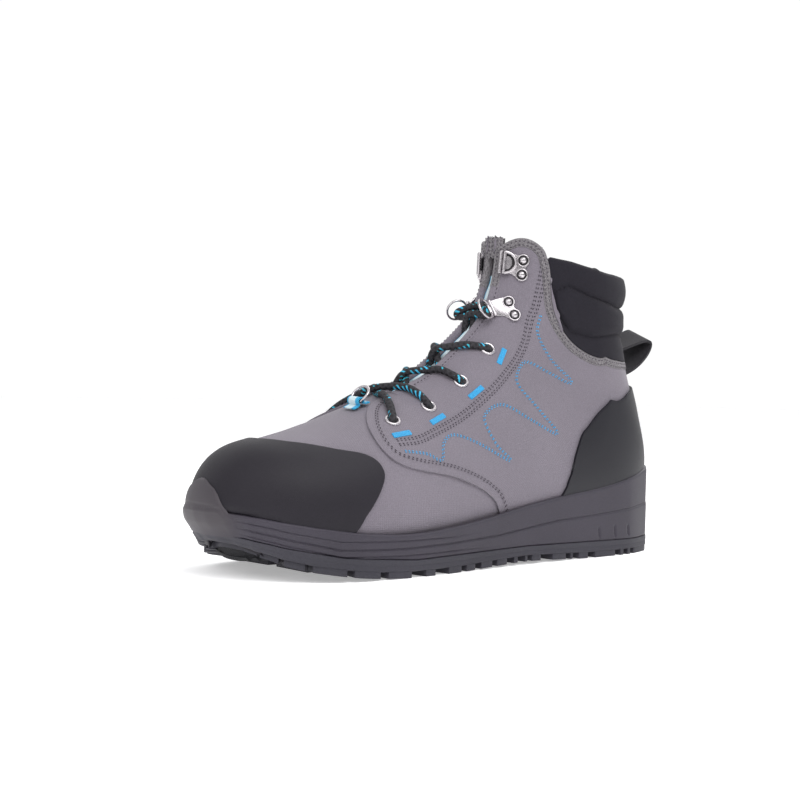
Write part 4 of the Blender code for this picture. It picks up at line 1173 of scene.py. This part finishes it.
def build_outsole():
    """The outsole's wall and its face between the lugs."""
    plan, outward = outline_points(720)
    rows = sole_row(plan[:, 1])
    top = split_height(plan[:, 1])
    low = rows[:, 4] + LUG_DEPTH * 0.9
    points = []
    for inset, level in OUTSOLE_WALL:
        up = low + level * (top - low)
        at = plan - outward * (inset * MM + toe_sweep(plan, up, rows[:, 2], rows[:, 4]))[:, None]
        points.append(np.stack([at[:, 0], HEEL_REST - at[:, 1], up], axis=1))
    for share in (0.5, 0.0):
        points.append(np.stack([points[-1][:, 0] * share, points[-1][:, 1], low], axis=1))
    mesh = tidy(grid_mesh("outsole", np.array(points), close_columns=True), merge=1e-5)
    return finish_with(object_of("outsole", mesh, OUTSOLE, ("outsole",)))


def block(shape, ring_points):
    """Lofts rings of four corners into a closed block."""
    rings = [[shape.verts.new(corner) for corner in ring] for ring in ring_points]
    for first, second in zip(rings, rings[1:]):
        for index in range(4):
            beyond = (index + 1) % 4
            shape.faces.new((first[index], first[beyond], second[beyond], second[index]))
    shape.faces.new(rings[0][::-1])
    shape.faces.new(rings[-1])


def edge_lugs(shape):
    """Lugs round the sole's edge, one for each run of the outline between two gaps."""
    plan, outward = outline_points(720)
    rows = sole_row(plan[:, 1])
    sweep = toe_sweep(plan, rows[:, 4], rows[:, 2], rows[:, 4])
    along = plan[:, 1] / MM
    plan = plan - outward * (sweep + 0.0022 * share_of(along, 285.0, 300.0))[:, None]
    shift = np.where(plan[:, 0] >= 0.0, 0.0, 5.0)
    live = np.ones(len(plan), bool)
    for start, stop in LUG_GAPS:
        live &= ~((along > start + shift) & (along < stop + shift))
    live &= ~((along < 6.0) & (np.abs(np.abs(plan[:, 0] / MM) - 10.0) < 1.2))
    first_gap = int(np.argmin(live))
    order = (np.arange(len(plan)) + first_gap) % len(plan)
    group = []
    for index in list(order) + [order[0]]:
        if live[index]:
            group.append(index)
            continue
        if len(group) > 2:
            rings = []
            for each in group[:: max(1, min(4, len(group) // 3))] + [group[-1]]:
                outer = plan[each] - outward[each] * LUG_INSET
                inner = plan[each] - outward[each] * LUG_REACH
                low, high = rows[each, 4], rows[each, 4] + LUG_DEPTH + 0.0006
                corners = ((outer, high), (outer, low), (inner, low), (inner, high))
                rings.append([(at[0], HEEL_REST - at[1], up) for at, up in corners])
            block(shape, rings)
        group = []


def chevrons(shape):
    """Two slanted bars at even steps along the sole's middle."""
    for place in np.arange(20.0, 268.0, CHEVRON_STEP) * MM:
        out, inn = sole_row(place)[0, :2]
        for side, half in ((1.0, out), (-1.0, inn)):
            reach = half - 0.0155
            if reach < 0.006:
                continue
            rings = []
            for share in (0.10, 0.55, 1.0):
                x = side * reach * share
                middle = place + 0.0045 * abs(share - 0.1)
                low = sole_row(middle)[0, 4] + 0.0002
                high = low + LUG_DEPTH + 0.0004
                corners = ((-1, high), (-1, low), (1, low), (1, high))
                rings.append([(x, HEEL_REST - middle + step * 0.0042, up) for step, up in corners])
            block(shape, rings)


def build_lugs():
    """Lugs round the sole's edge and chevrons along its middle."""
    shape = bmesh.new()
    edge_lugs(shape)
    chevrons(shape)
    bmesh.ops.recalc_face_normals(shape, faces=shape.faces)
    mesh = bpy.data.meshes.new("lugs")
    shape.to_mesh(mesh)
    shape.free()
    made = object_of("lugs", mesh, OUTSOLE)
    return finish_with(made, ("BEVEL", rounded(0.0004, 2)))


# The toe tab's foot and top, and its half width by height in millimetres
TAB_FOOT = 0.0205
TAB_TOP = 0.0486
TAB_WIDTH = [
    (16, 26), (24, 28), (30.2, 27.5), (33.1, 23.5), (38, 19), (41.4, 16.3), (44.1, 12.9), (46, 8.2),
    (47.6, 5.0), (48.6, 1.5),
]


def squares(live):
    """Faces of a grid of points, by number, where all four corners are live."""
    columns = live.shape[1]
    whole = live[:-1, :-1] & live[1:, :-1] & live[:-1, 1:] & live[1:, 1:]
    corners = np.flatnonzero(np.pad(whole, ((0, 0), (0, 1))))
    return [(corner, corner + 1, corner + columns + 1, corner + columns) for corner in corners.tolist()]


def toe_trees(*lifts):
    """The toe's surface at given lifts in millimetres, each ready for rays."""
    spans = (np.linspace(0.02, 4.0, 60), np.linspace(0.0, 2.0 * math.pi, 121))
    grid = np.stack(np.meshgrid(*spans, indexing="ij"), axis=2)
    faces = squares(np.ones(grid.shape[:2], bool))
    return [BVHTree.FromPolygons(on_last(grid, lift * MM).reshape(-1, 3).tolist(), faces) for lift in lifts]


def front_of(tree, x, level):
    """Where a surface is first met from in front of the toe, or the nearest place on it."""
    met = tree.ray_cast(Vector((x, -0.4, level)), Vector((0.0, 1.0, 0.0)))[0]
    return (met or tree.find_nearest((x, -0.268, level))[0]).y


def build_bumper():
    """The sole's smooth tab over the toe's front, sunk into the sole's wall at its foot."""
    near, far = toe_trees(1.5, 3.0)
    plan, _ = outline_points(1200)
    toe = plan[plan[:, 1] > 0.250]
    toe = toe[np.argsort(toe[:, 0])]
    levels = np.linspace(TAB_FOOT, TAB_TOP, 76)
    half = np.interp(levels / MM, *np.array(TAB_WIDTH, float).T) * MM
    across = np.linspace(-1.0, 1.0, 91)
    points = np.zeros((len(levels), len(across), 3))
    for row, (level, reach) in enumerate(zip(levels, half)):
        for column, share in enumerate(across):
            x = TAB_MIDDLE + share * reach
            low, high = (front_of(tree, x, level) for tree in (near, far))
            place = np.array([[x, np.interp(x, toe[:, 0], toe[:, 1])]])
            sole = sole_row(place[:, 1])[0]
            sweep = toe_sweep(place, np.array([level]), sole[2], sole[4])[0]
            wall = HEEL_REST - place[0, 1] + sweep + 0.0006
            wall += max(level - sole[2] + 0.0006, 0.0) ** 1.5 * 18.0
            from_edge = min((1.0 - abs(share)) * reach, levels[-1] - level + 0.0001)
            rise = np.clip(from_edge / 0.0017, 0.0, 1.0)
            rise = math.sqrt(rise * (2.0 - rise))
            low_edge = np.clip((1.0 - abs(share)) * reach / 0.006, 0.0, 1.0)
            sunk = share_of(level, 0.0275, 0.0215)
            wall += 0.0014 * (1.0 - low_edge) + 0.0022 * sunk * sunk * (3.0 - 2.0 * sunk) - 0.0011
            body = low + (high - low) * rise
            reach_in = 0.0045
            by_wall = np.clip(0.5 + 0.5 * (body - wall) / reach_in, 0.0, 1.0)
            front = body * (1.0 - by_wall) + wall * by_wall
            points[row, column] = (x, front - 0.6 * reach_in * by_wall * (1.0 - by_wall), level)
    mesh = tidy(grid_mesh("toe_bumper", points))
    return finish_with(object_of("toe_bumper", mesh, RUBBER))


# Hardware


def seat_frame(x, along, up, lift, outer, tilt=0.0):
    """A frame on the last in millimetres: x towards the slit, y up the boot, z outwards."""
    line = pin([(x if outer else -x, along, up)])[0]
    normal = Vector(last_normal(line[0], line[1]))
    upward = Vector((0.0, 0.0, 1.0))
    upward = (upward - normal * upward.dot(normal)).normalized()
    forward = normal.cross(upward) if outer else upward.cross(normal)
    turn = math.radians(tilt)
    turned_up = upward * math.cos(turn) - forward * math.sin(turn)
    turned_forward = forward * math.cos(turn) + upward * math.sin(turn)
    base = Vector(last_point(line[0], line[1])) + normal * lift * MM
    axes = Matrix((turned_forward, turned_up, normal)).transposed().to_4x4()
    return Matrix.Translation(base) @ axes @ Matrix.Scale(MM, 4)


# Hooks in millimetres: each rivet's distance from the plate's middle, and the plate's thickness
RIVET_SPREAD = 4.07
PLATE_THICKNESS = 1.1


def shaped(kind, matrix, scale=(1.0, 1.0, 1.0), **size):
    """A primitive in millimetres, put in its place in a frame."""
    getattr(bpy.ops.mesh, f"primitive_{kind}_add")(**size)
    made = bpy.context.object
    made.data.transform(matrix @ Matrix.Diagonal((*scale, 1.0)) @ made.matrix_basis)
    made.matrix_basis = Matrix.Identity(4)
    made.select_set(False)
    return made


def sheet_of(outline, thickness, matrix):
    """A flat plate in millimetres from its outline, with round edges, in a frame."""
    area = sum(a[0] * b[1] - b[0] * a[1] for a, b in zip(outline, outline[1:] + outline[:1]))
    outline = outline if area > 0.0 else outline[::-1]
    mesh = bpy.data.meshes.new("plate")
    mesh.from_pydata([(x, y, thickness) for x, y in outline], [], [tuple(range(len(outline)))])
    plate = placed("plate", mesh)
    finish_with(plate, ("SOLIDIFY", {"thickness": thickness, "offset": -1.0}),
                ("BEVEL", {**rounded(0.25, 3), "angle_limit": math.radians(50.0)}))
    plate.data.transform(matrix)
    return plate


def as_piece(pieces, name, finish, replaced=()):
    """Several loose parts made one piece."""
    made = joined(name, pieces)
    turned_out(made.data)
    return finish_with(declared(made, finish, replaced))


def wire(name, points, width, closed=False):
    """A loose wire through its points, to be joined to a piece."""
    points = np.asarray(points, float)
    if closed:
        run = unit(np.roll(points, -1, 0) - np.roll(points, 1, 0))
        middle = points.mean(axis=0)
        flat = unit(np.cross(points[0] - middle, points[len(points) // 4] - middle))
        side = np.broadcast_to(flat, run.shape)
        above = unit(np.cross(run, side))
    else:
        run, side, above = frames_along(points)
    turns = np.linspace(0.0, 2.0 * math.pi, 12, endpoint=False)[None, :, None]
    ring = width / 2.0 * (np.cos(turns) * side[:, None] + np.sin(turns) * above[:, None])
    tube = grid_mesh(name, points[:, None] + ring, close_columns=True, close_rows=closed)
    mesh = tidy(tube, merge=FINE_MERGE)
    cap_ends(mesh)
    return placed(name, mesh)


def in_frame(matrix, points):
    return np.array([(matrix @ Vector(point))[:] for point in points])


def build_eyelets():
    """A rolled rim and a tube through the facing for each eyelet."""
    for number, (x, along, up) in enumerate(EYELETS, start=1):
        for side, outer, _ in SIDES:
            matrix = seat_frame(x, along, up, QUARTER_LIFT / MM, outer)
            rim = shaped("torus", matrix, (1.0, 1.0, 0.85), location=(0.0, 0.0, 0.25), major_radius=3.45,
                         minor_radius=0.85, major_segments=40, minor_segments=14)
            tube = shaped("cylinder", matrix, location=(0.0, 0.0, -1.9), radius=2.62, depth=4.6,
                          vertices=40, end_fill_type="NOTHING")
            as_piece([rim, tube], f"eyelet_{side}_{number}", STEEL, (f"eyelet_{side}_{number}",))


def lobes():
    """The back of a hook's plate: two round lobes with a notch between them, from above to below."""
    turns = np.radians([75, 95, 115, 135, 155, 175, 195, 215])
    upper = [(3.5 * math.cos(turn), RIVET_SPREAD + 3.5 * math.sin(turn)) for turn in turns]
    return upper + [(-1.7, 0.0)] + [(x, -y) for x, y in upper[::-1]]


def rivets(matrix):
    """A hook's two rivet heads, each in a raised ring."""
    made = []
    for sign in (1.0, -1.0):
        spot = matrix @ Matrix.Translation((0.0, sign * RIVET_SPREAD, 1.2))
        made.append(shaped("uv_sphere", spot, (1.0, 1.0, 0.75), radius=2.0, segments=28, ring_count=14))
        made.append(shaped("torus", spot, major_radius=3.2, minor_radius=0.42, major_segments=36,
                           minor_segments=10))
    return made


def painted_shade_discs(matrix, window_shade=False):
    """Dark discs painted as the shade round a hook's rivets and, if asked, a dark D painted as the shade
    seen through the hole inside its loop, then the plate that lies on it.
    """
    made = []
    for sign in (1.0, -1.0):
        spot = matrix @ Matrix.Translation((0.0, sign * RIVET_SPREAD, 0.68))
        made.append(shaped("cylinder", spot, radius=3.0, depth=1.0, vertices=32))
    if window_shade:
        for x, radius, height in ((8.4, 5.1, 0.62), (8.9, 3.7, 0.9)):
            spot = matrix @ Matrix.Translation((x, 1.9, height))
            made.append(shaped("cylinder", spot, (0.75, 1.0, 1.0), radius=radius, depth=1.1, vertices=40))
    return made


def bars(matrix, centre, length, places):
    """Round bars up the boot with round ends, each at a distance from the plate and a height over it."""
    made = []
    turned = Matrix.Rotation(math.pi / 2.0, 4, "X")
    for x, z in places:
        spot = matrix @ Matrix.Translation((x, centre, z))
        made.append(shaped("cylinder", spot @ turned, radius=0.95, depth=length, vertices=20))
        for end in (-1.0, 1.0):
            cap = matrix @ Matrix.Translation((x, centre + end * length / 2.0, z))
            made.append(shaped("uv_sphere", cap, (1.0, 0.6, 1.0), radius=0.95, segments=16, ring_count=8))
    return made


UPPER_TILT = 5.0
LOWER_TILT = -23.0
RING_LEAN = math.radians(50.0)


def build_hooks():
    """Two hooks a side: the upper with a closed loop, the lower with a wire ring for the lace."""
    for side, outer, _ in SIDES:
        upper = seat_frame(*UPPER_HOOK, QUARTER_LIFT / MM, outer, UPPER_TILT)
        lower = seat_frame(*LOWER_HOOK, QUARTER_LIFT / MM, outer, LOWER_TILT)
        # Dark discs painted as shade under the rivets and inside the upper hook's loop; the last of them is
        # the plate on the dark D, which keeps the steel finish.
        shade_pieces = painted_shade_discs(upper, window_shade=True)
        lit = shade_pieces.pop()
        as_piece(shade_pieces + painted_shade_discs(lower), f"hook_painted_shade_{side}", PAINTED_SHADE_STEEL)
        plate = [(11.0, -4.0), (11.0, 7.9), (8.6, 7.9), (5.6, 7.3), (3.4, 6.6)] + lobes()
        plate += [(3.4, -5.6), (5.6, -4.2), (8.6, -4.0)]
        pieces = [sheet_of(plate[::-1], PLATE_THICKNESS, upper), lit] + rivets(upper)
        pieces += bars(upper, 1.9, 12.0, [(10.4, 2.1), (12.6, 1.7)])
        turns = np.linspace(BACK, FRONT, 25)
        loop = [(10.4 - 6.6 * math.cos(turn), 1.9 + 5.9 * math.sin(turn), 2.1) for turn in turns]
        pieces.append(wire("loop", in_frame(upper, loop), 1.7 * MM))
        as_piece(pieces, f"lace_hook_{side}_upper", STEEL, (f"lace_hook_{side}_upper",))
        plate = [(10.5, -0.6), (10.5, 8.4), (6.5, 8.2), (3.2, 7.9)] + lobes() + [(3.0, -5.6), (5.6, -2.6)]
        pieces = [sheet_of(plate[::-1], PLATE_THICKNESS, lower)] + rivets(lower)
        pieces += bars(lower, 3.9, 9.0, [(10.2, 1.9), (12.1, 1.6)])
        reach = Vector((math.cos(RING_LEAN), 0.0, math.sin(RING_LEAN)))
        ring = []
        for turn in np.linspace(0.0, 2.0 * math.pi, 40, endpoint=False):
            aside = Vector((0.0, 5.9 * math.sin(turn), 0.0))
            ring.append(Vector((11.6, 3.9, 1.9)) + reach * (5.6 - 5.9 * math.cos(turn)) + aside)
        pieces.append(wire("ring", in_frame(lower, ring), 1.35 * MM, closed=True))
        as_piece(pieces, f"lace_hook_{side}_lower", STEEL, (f"lace_hook_{side}_lower",))


def foot_frame():
    """Where the ring stands, on the vamp beside the slit's foot: x outwards, y to the toe, z out."""
    place = pin([(5.0, 218.5, 85.2)])[0]
    normal = Vector(last_normal(*place))
    forward = Vector((1.0, 0.0, 0.0)).cross(normal).normalized()
    across = forward.cross(normal) * -1.0
    base = Vector(last_point(*place)) + normal * QUARTER_LIFT
    axes = Matrix((across, forward, normal)).transposed().to_4x4()
    return Matrix.Translation(base) @ axes @ Matrix.Scale(MM, 4)


def build_ring_and_tab():
    """A wire ring with a straight foot in a folded striped tab."""
    matrix = foot_frame()
    lean = matrix @ Matrix.Translation((0.0, 0.0, 2.6)) @ Matrix.Rotation(math.radians(58.0), 4, "X")
    outline = [(x, 0.0, 0.0) for x in np.linspace(-3.8, 3.8, 9)]
    turns = np.radians(np.linspace(-46.0, 226.0, 36))
    outline += [(5.5 * math.cos(turn), 0.0, 4.4 + 5.2 * math.sin(turn)) for turn in turns]
    ring = wire("ring", in_frame(lean, outline), 1.5 * MM, closed=True)
    as_piece([ring], "ring", STEEL, ("ring",))
    turns = np.radians(np.linspace(-48.0, 228.0, 22))
    fold = [(1.9 * math.cos(turn), 2.6 + 1.9 * math.sin(turn)) for turn in turns]
    profile = [(5.4, 0.3), (3.0, 0.5)] + fold + [(-3.0, 0.5), (-5.4, 0.3)]
    across = np.linspace(-4.4, 4.4, 24)
    points = np.array([[(matrix @ Vector((x, y, z)))[:] for x in across] for y, z in profile])
    uv = np.stack(np.meshgrid(np.linspace(0.0, 0.02, len(profile)), across * MM, indexing="ij"), axis=2)
    mesh = tidy(grid_mesh("ring_tab", points, uv=uv))
    made = object_of("ring_tab", mesh, STRIPED, ("ring_tab",))
    return finish_with(made, ("SOLIDIFY", {"thickness": 0.0007, "offset": 0.0}))


# The pull loop in millimetres: how far its fold reaches beyond its ends, and its width
LOOP_REACH = 31.0
LOOP_WIDTH = 17.0


def build_pull_loop():
    """Black webbing folded into an open loop, its ends flat on the back."""
    at = np.linspace(12.0, 17.0, 400)
    line = last_point(at, np.full(400, BACK))
    stations = []
    for up in (0.585 * HEIGHT, 0.650 * HEIGHT):
        nearest = int(np.argmin(np.abs(line[:, 2] - up)))
        normal = last_normal(at[nearest], BACK)
        stations.append(Vector(line[nearest] + normal * (QUARTER_LIFT + 0.0003)))
    base = 0.5 * (stations[0] + stations[1])
    upward = (stations[1] - stations[0]).normalized()
    out = Vector((0.0, upward.z, -upward.y))
    path = [(1.2, -8.5), (1.2, -7.0)]
    for turn in np.radians(np.linspace(-90.0, 90.0, 40)):
        path.append((4.4 + LOOP_REACH * math.cos(turn) ** 0.8, -0.5 + 7.6 * math.sin(turn)))
    path += [(1.3, 7.5), (1.3, 9.0)]
    path = smooth_rows(np.array(path), np.linspace(0, len(path) - 1, 120))
    half = LOOP_WIDTH / 2.0
    across = np.linspace(-half, half, 24)
    points = np.zeros((len(path), len(across), 3))
    for row, (y, z) in enumerate(path):
        reach = min(max(y / 35.0, 0.0), 1.0)
        for column, x in enumerate(across):
            wrap = (1.0 - reach) * (x / half) ** 2
            tilt = 3.5 * reach * x / half
            drop = -0.22 * reach * y
            aside = Vector((x * MM, 0.0, -(tilt + drop) * MM))
            points[row, column] = (base + aside + out * (y - wrap) * MM + upward * z * MM)[:]
    uv = np.stack(np.meshgrid(arc_length(points[:, 0]), across * MM, indexing="ij"), axis=2)
    mesh = tidy(grid_mesh("pull_loop", points, uv=uv))
    made = object_of("pull_loop", mesh, WEBBING, ("pull_loop",))
    return finish_with(made, ("SOLIDIFY", {"thickness": 0.0016, "offset": 0.0}),
                       ("BEVEL", rounded(0.0004, 2)))


# Laces and trim


def across_top(section, x):
    """Section and angle of a place a distance x, in millimetres, beside the front line."""
    row = smooth_rows(SECTION, section, mirrored=True)[0]
    width = (row[4] if x >= 0.0 else row[5]) * BALL_WIDTH
    bent = math.acos(min((abs(x) * MM / width) ** (row[7] / 2.0), 1.0))
    return np.array([section, bent if x >= 0.0 else math.pi - bent])


# Where each eyelet's lace lies on the facing, in millimetres, from the hole to the slit
LACE_PATHS = [
    [(21.9, 210.1, 85.8), (10.7, 205.7, 91.1)],
    [(20.8, 191.0, 92.6), (11.8, 193.6, 95.2)],
    [(20.7, 166.4, 102.6), (14.6, 169.2, 105.0), (9.4, 173.6, 104.6)],
    [(14.3, 148.5, 118.8), (8.3, 154.4, 117.9)],
]
CROSSINGS = [200.5, 181.0, 158.5, 133.0]
WAYS_OUT = [None, 187.5, 163.0, 138.5]


def front_place(along, x):
    """A place on the last's front by its distance from the heel's back, a distance x beside the middle."""
    sections = np.linspace(5.0, 14.0, 200)
    known = (HEEL_REST - last_point(sections, np.full(200, FRONT))[:, 1]) / MM
    return across_top(float(np.interp(-along, -known, sections)), x)


def lace_route(first_outer):
    """Up through the lowest eyelet, over into the next one, and out of the slit below each later one."""
    route = []

    def to(place, lift):
        route.append(on_last(np.array(place, float), lift * MM))

    for number, path in enumerate(LACE_PATHS):
        outer = first_outer if number % 2 == 0 else not first_outer
        sign = 1.0 if outer else -1.0
        hole = pin([(sign * EYELETS[number][0], *EYELETS[number][1:])])[0]
        on_facing = [pin([(sign * x, along, up)])[0] for x, along, up in path]
        height = 3.4 if outer else 3.0
        if number == 0:
            for lift in (-4.4, -1.0, 1.9):
                to(hole, lift)
            for place in on_facing:
                to(place, height)
        else:
            for place in on_facing[::-1]:
                to(place, height)
            for lift in (2.0, -1.0, -4.4):
                to(hole, lift)
            along = WAYS_OUT[number]
            edge = float(np.interp(hole[0], SLIT[:, 0], SLIT[:, 1]))
            to(front_place(along - 1.0, sign * (edge + 5.5)), -5.4)
            to(front_place(along, sign * (edge - 0.4)), -4.2)
        ends_outer = not outer
        if number < 3:
            to(front_place(CROSSINGS[number], 0.0), 4.0 if ends_outer else 0.3)
        else:
            to(front_place(CROSSINGS[3], sign * 0.5), 2.6 if ends_outer else -0.4)
            matrix = seat_frame(*LOWER_HOOK, QUARTER_LIFT / MM, ends_outer, LOWER_TILT)
            for spot in ((15.8, 0.6, 4.6), (15.8, 4.4, 3.8)):
                route.append(np.array((matrix @ Vector(spot))[:]))
            to(front_place(126.5, 0.0), -2.2)
            to(front_place(128.5, sign * 6.0), -5.6)
            to(front_place(130.5, sign * 12.0), -5.8)
    return route


def build_laces():
    """Two runs of lace, mirror images but for their heights where they cross."""
    for side, first_outer, _ in SIDES:
        points = smooth_route(lace_route(first_outer))
        travelled = arc_length(points)
        at = np.linspace(0.0, travelled[-1], int(travelled[-1] / 0.0009))
        points = np.stack([np.interp(at, travelled, points[:, axis]) for axis in range(3)], axis=1)
        replaced = ("lace_cross_1", "lace_cross_3") if first_outer else ("lace_cross_2", "lace_cross_4")
        cord_mesh(f"lace_{side}", points, LACE_WIDTH, LACE, replaced, sides=20, flat=0.92)


def build_bar_tacks():
    """Short raised bars of blue thread beside the eyelets."""
    for side, outer, _ in SIDES:
        pieces = []
        for x, along, up, tilt in BAR_TACKS:
            matrix = seat_frame(x, along, up, QUARTER_LIFT / MM + 0.15, outer, tilt)
            pieces.append(shaped("cube", matrix, (5.9, 1.6, 0.45), size=2.0))
        made = as_piece(pieces, f"bar_tacks_{side}", BLUE)
        finish_with(made, ("BEVEL", {"width": 0.0004, "segments": 3}))


# Bar tacks: place in millimetres and tilt in degrees
BAR_TACKS = [(37, 214.5, 71, -11), (34.5, 187.5, 79, -26), (30, 156.5, 93, -35), (24, 132, 113, -56)]

# The blue zigzag and the seam along the facing's stay, as lines on the last
ZIGZAG = [
    (24.5, 103.6, 136.2), (25.1, 106.3, 126.5), (30.4, 100.1, 111.5), (34.9, 87.9, 99.4),
    (31.4, 103.4, 105.3), (27.7, 118.3, 110.5), (31.9, 128.0, 99.3), (37.7, 115.5, 83.6),
    (40.2, 103.5, 71.0), (39.1, 124.6, 79.8), (36.1, 143.5, 87.3), (37.8, 157.0, 80.2),
    (43.0, 152.5, 66.1), (44.5, 143.1, 57.3), (42.9, 163.6, 66.7), (40.7, 180.7, 71.7),
    (42.7, 190.0, 67.5), (46.4, 194.5, 58.8), (45.2, 202.3, 61.7), (44.5, 209.8, 62.8),
    (43.7, 217.1, 63.3),
]
STAY_SEAM = [
    (24.0, 103.1, 168.5), (23.4, 103.2, 161), (22.4, 104.6, 152), (21.7, 107.2, 141.4),
    (22.0, 112.1, 131.6), (26.7, 127.8, 109.7), (30.8, 144.4, 98.0), (33.8, 165.3, 85.5),
    (36.3, 181.0, 78.7), (38.2, 194.4, 74.1), (39.8, 206.6, 70.4), (38.5, 219, 68.3),
]


def build_stitching():
    """The blue zigzag, the seams beside the facing, and the stitches along its edges and the felt."""
    lift = QUARTER_LIFT + 0.00022
    zigzag = curve_through(ZIGZAG, 8)
    seam = curve_through(STAY_SEAM, 10)
    felt = felt_line(12.0)
    fold = even(slit_line(7.2, 11.8, 60), 120)
    front = even(curve_through(FACING_FRONT), 200, 0.06, 0.97)
    for side, outer, sign in SIDES:
        blue = side_of(zigzag, outer)
        rows = [blue, beside(blue, 0.9 * MM)]
        stitches(f"blue_stitches_{side}", rows, lift, BLUE, 0.0022, 0.0010, 0.00065)
        stay = side_of(seam, outer)
        rows = [stay, beside(stay, 1.1 * MM), beside(stay, 2.9 * MM), beside(stay, 4.0 * MM)]
        stitches(f"seam_stitches_{side}", rows, lift, GREY_THREAD, 0.0024, 0.0011, 0.0007)
        lip = side_of(front, outer)
        rows = [beside(lip, sign * 4.6 * MM), beside(lip, sign * 5.7 * MM)]
        rows.append(beside(side_of(fold, outer), -sign * 3.9 * MM))
        stitches(f"edge_stitches_{side}", rows, lift + 0.0002, GREY_THREAD, 0.0025, 0.0013, 0.0006)
        edge = side_of(felt, outer)
        rows = [beside(edge, -sign * 1.3 * MM), beside(edge, -sign * 3.4 * MM)]
        stitches(f"felt_stitches_{side}", rows, QUARTER_LIFT + 0.0006, GREY_THREAD, 0.0023, 0.0014, 0.00055)


def build_lining():
    """The dark cloth inside the boot, open along the slit and under the ears' edge."""
    sections = np.linspace(0.6, 18.2, 120)
    angles = np.radians(np.linspace(0.0, 360.0, 121))
    grid = np.stack(np.meshgrid(sections, angles, indexing="ij"), axis=2)
    points = on_last(grid, -WALL - 0.0002)
    half = np.interp(sections, SLIT[:, 0], SLIT[:, 1] + 1.5, left=0.0)[:, None] * MM
    in_slit = (sections[:, None] > 6.6) & (np.abs(points[..., 0]) < half) & (np.sin(angles)[None] > 0.0)
    up, along = points[..., 2], HEEL_REST - points[..., 1]
    faces = squares(~in_slit & (up < np.where(along < 0.099, 0.1505, 0.1765)))
    mesh = bpy.data.meshes.new("lining")
    mesh.from_pydata(points.reshape(-1, 3).tolist(), [], faces)
    layer = mesh.uv_layers.new(name="UVMap")
    flat = np.stack([grid[..., 1] * 0.04, grid[..., 0] * 0.016], axis=2).reshape(-1, 2)
    index = np.zeros(len(mesh.loops), int)
    mesh.loops.foreach_get("vertex_index", index)
    layer.data.foreach_set("uv", flat[index].reshape(-1).astype(np.float32))
    return finish_with(object_of("lining", tidy(mesh), LINING))


def finish_insole():
    """The insole keeps its CAD form and takes the footbed's knit."""
    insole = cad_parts["insole"].data
    insole.materials.clear()
    insole.materials.append(FOOTBED)


def build_all():
    build_vamp()
    build_quarter()
    build_toe_cap()
    build_counter()
    build_collar()
    build_bindings()
    build_tongue()
    build_tongue_tape()
    build_lining()
    build_midsole()
    build_outsole()
    build_lugs()
    build_bumper()
    build_eyelets()
    build_hooks()
    build_ring_and_tab()
    build_pull_loop()
    build_laces()
    build_bar_tacks()
    build_stitching()
    finish_insole()


# Camera, light and floor


def build_stage():
    """A white floor, a white room that darkens behind the camera, and soft lamps."""
    bpy.ops.mesh.primitive_plane_add(size=12.0, location=(0.0, -0.1, 0.0))
    floor = bpy.context.object
    floor.name = "floor"
    floor.select_set(False)
    made, tree, shader = blank("pale_floor")
    speck = noise(tree, 300.0, 2.0)
    white = ramp(tree, speck, "Fac", [(0.0, (0.955, 0.955, 0.955)), (1.0, (0.965, 0.965, 0.965))])
    link(tree, white, "Color", shader, "Base Color")
    shader.inputs["Roughness"].default_value = 0.95
    shader.inputs["Specular IOR Level"].default_value = 0.1
    shader.inputs["Emission Color"].default_value = (1.0, 1.0, 1.0, 1.0)
    shader.inputs["Emission Strength"].default_value = 0.36
    floor.data.materials.append(made)
    scene = bpy.context.scene
    scene.view_settings.view_transform = "Standard"
    world = bpy.data.worlds.new("studio")
    world.use_nodes = True
    tree = world.node_tree
    place = node(tree, "ShaderNodeTexCoord")
    facing = node(tree, "ShaderNodeVectorMath", operation="DOT_PRODUCT")
    facing.inputs[1].default_value = (-0.62, 0.72, 0.30)
    link(tree, place, "Generated", facing, 0)
    stops = [(0.0, (0.30, 0.30, 0.31)), (0.45, (0.95, 0.95, 0.97)), (0.6, (1.0, 1.0, 1.0))]
    colours = ramp(tree, facing, "Value", stops)
    link(tree, colours, "Color", tree.nodes["Background"], "Color")
    tree.nodes["Background"].inputs["Strength"].default_value = 1.02
    scene.world = world
    for name, spot, size, power in LAMPS:
        lamp = bpy.data.lights.new(name, "AREA")
        lamp.energy = power
        lamp.size = size
        held = bpy.data.objects.new(name, lamp)
        held.location = spot
        direction = Vector((0.0, -0.1, 0.07)) - Vector(spot)
        held.rotation_euler = direction.to_track_quat("-Z", "Y").to_euler()
        scene.collection.objects.link(held)


# Each lamp's name, place and size in metres, and its watts
LAMPS = [
    ("key", (0.75, -0.25, 1.0), 0.8, 9.0), ("front", (0.2, -1.0, 0.7), 0.9, 4.0),
    ("rear", (-0.3, 0.9, 1.0), 1.0, 6.0),
]


# The camera's place and directions, and its sensor and lens in millimetres
CAMERA_PLACE = (0.61591, -0.66666, 0.09659)
CAMERA_RIGHT = (0.64625, 0.76289, 0.01885)
CAMERA_ABOVE = (-0.02044, -0.00738, 0.99976)
SENSOR_WIDTH = 36.0
FOCAL_LENGTH = 67.33


def build_camera():
    """The photograph's view: low, from the outer front, nearly level."""
    right, above = Vector(CAMERA_RIGHT), Vector(CAMERA_ABOVE)
    back = right.cross(above)
    data = bpy.data.cameras.new("camera")
    data.sensor_width = SENSOR_WIDTH
    data.lens = FOCAL_LENGTH
    data.clip_start = 0.01
    held = bpy.data.objects.new("camera", data)
    matrix = Matrix((right, above, back)).transposed().to_4x4()
    matrix.translation = CAMERA_PLACE
    held.matrix_world = matrix
    bpy.context.scene.collection.objects.link(held)
    bpy.context.scene.camera = held


build_all()
build_stage()
build_camera()
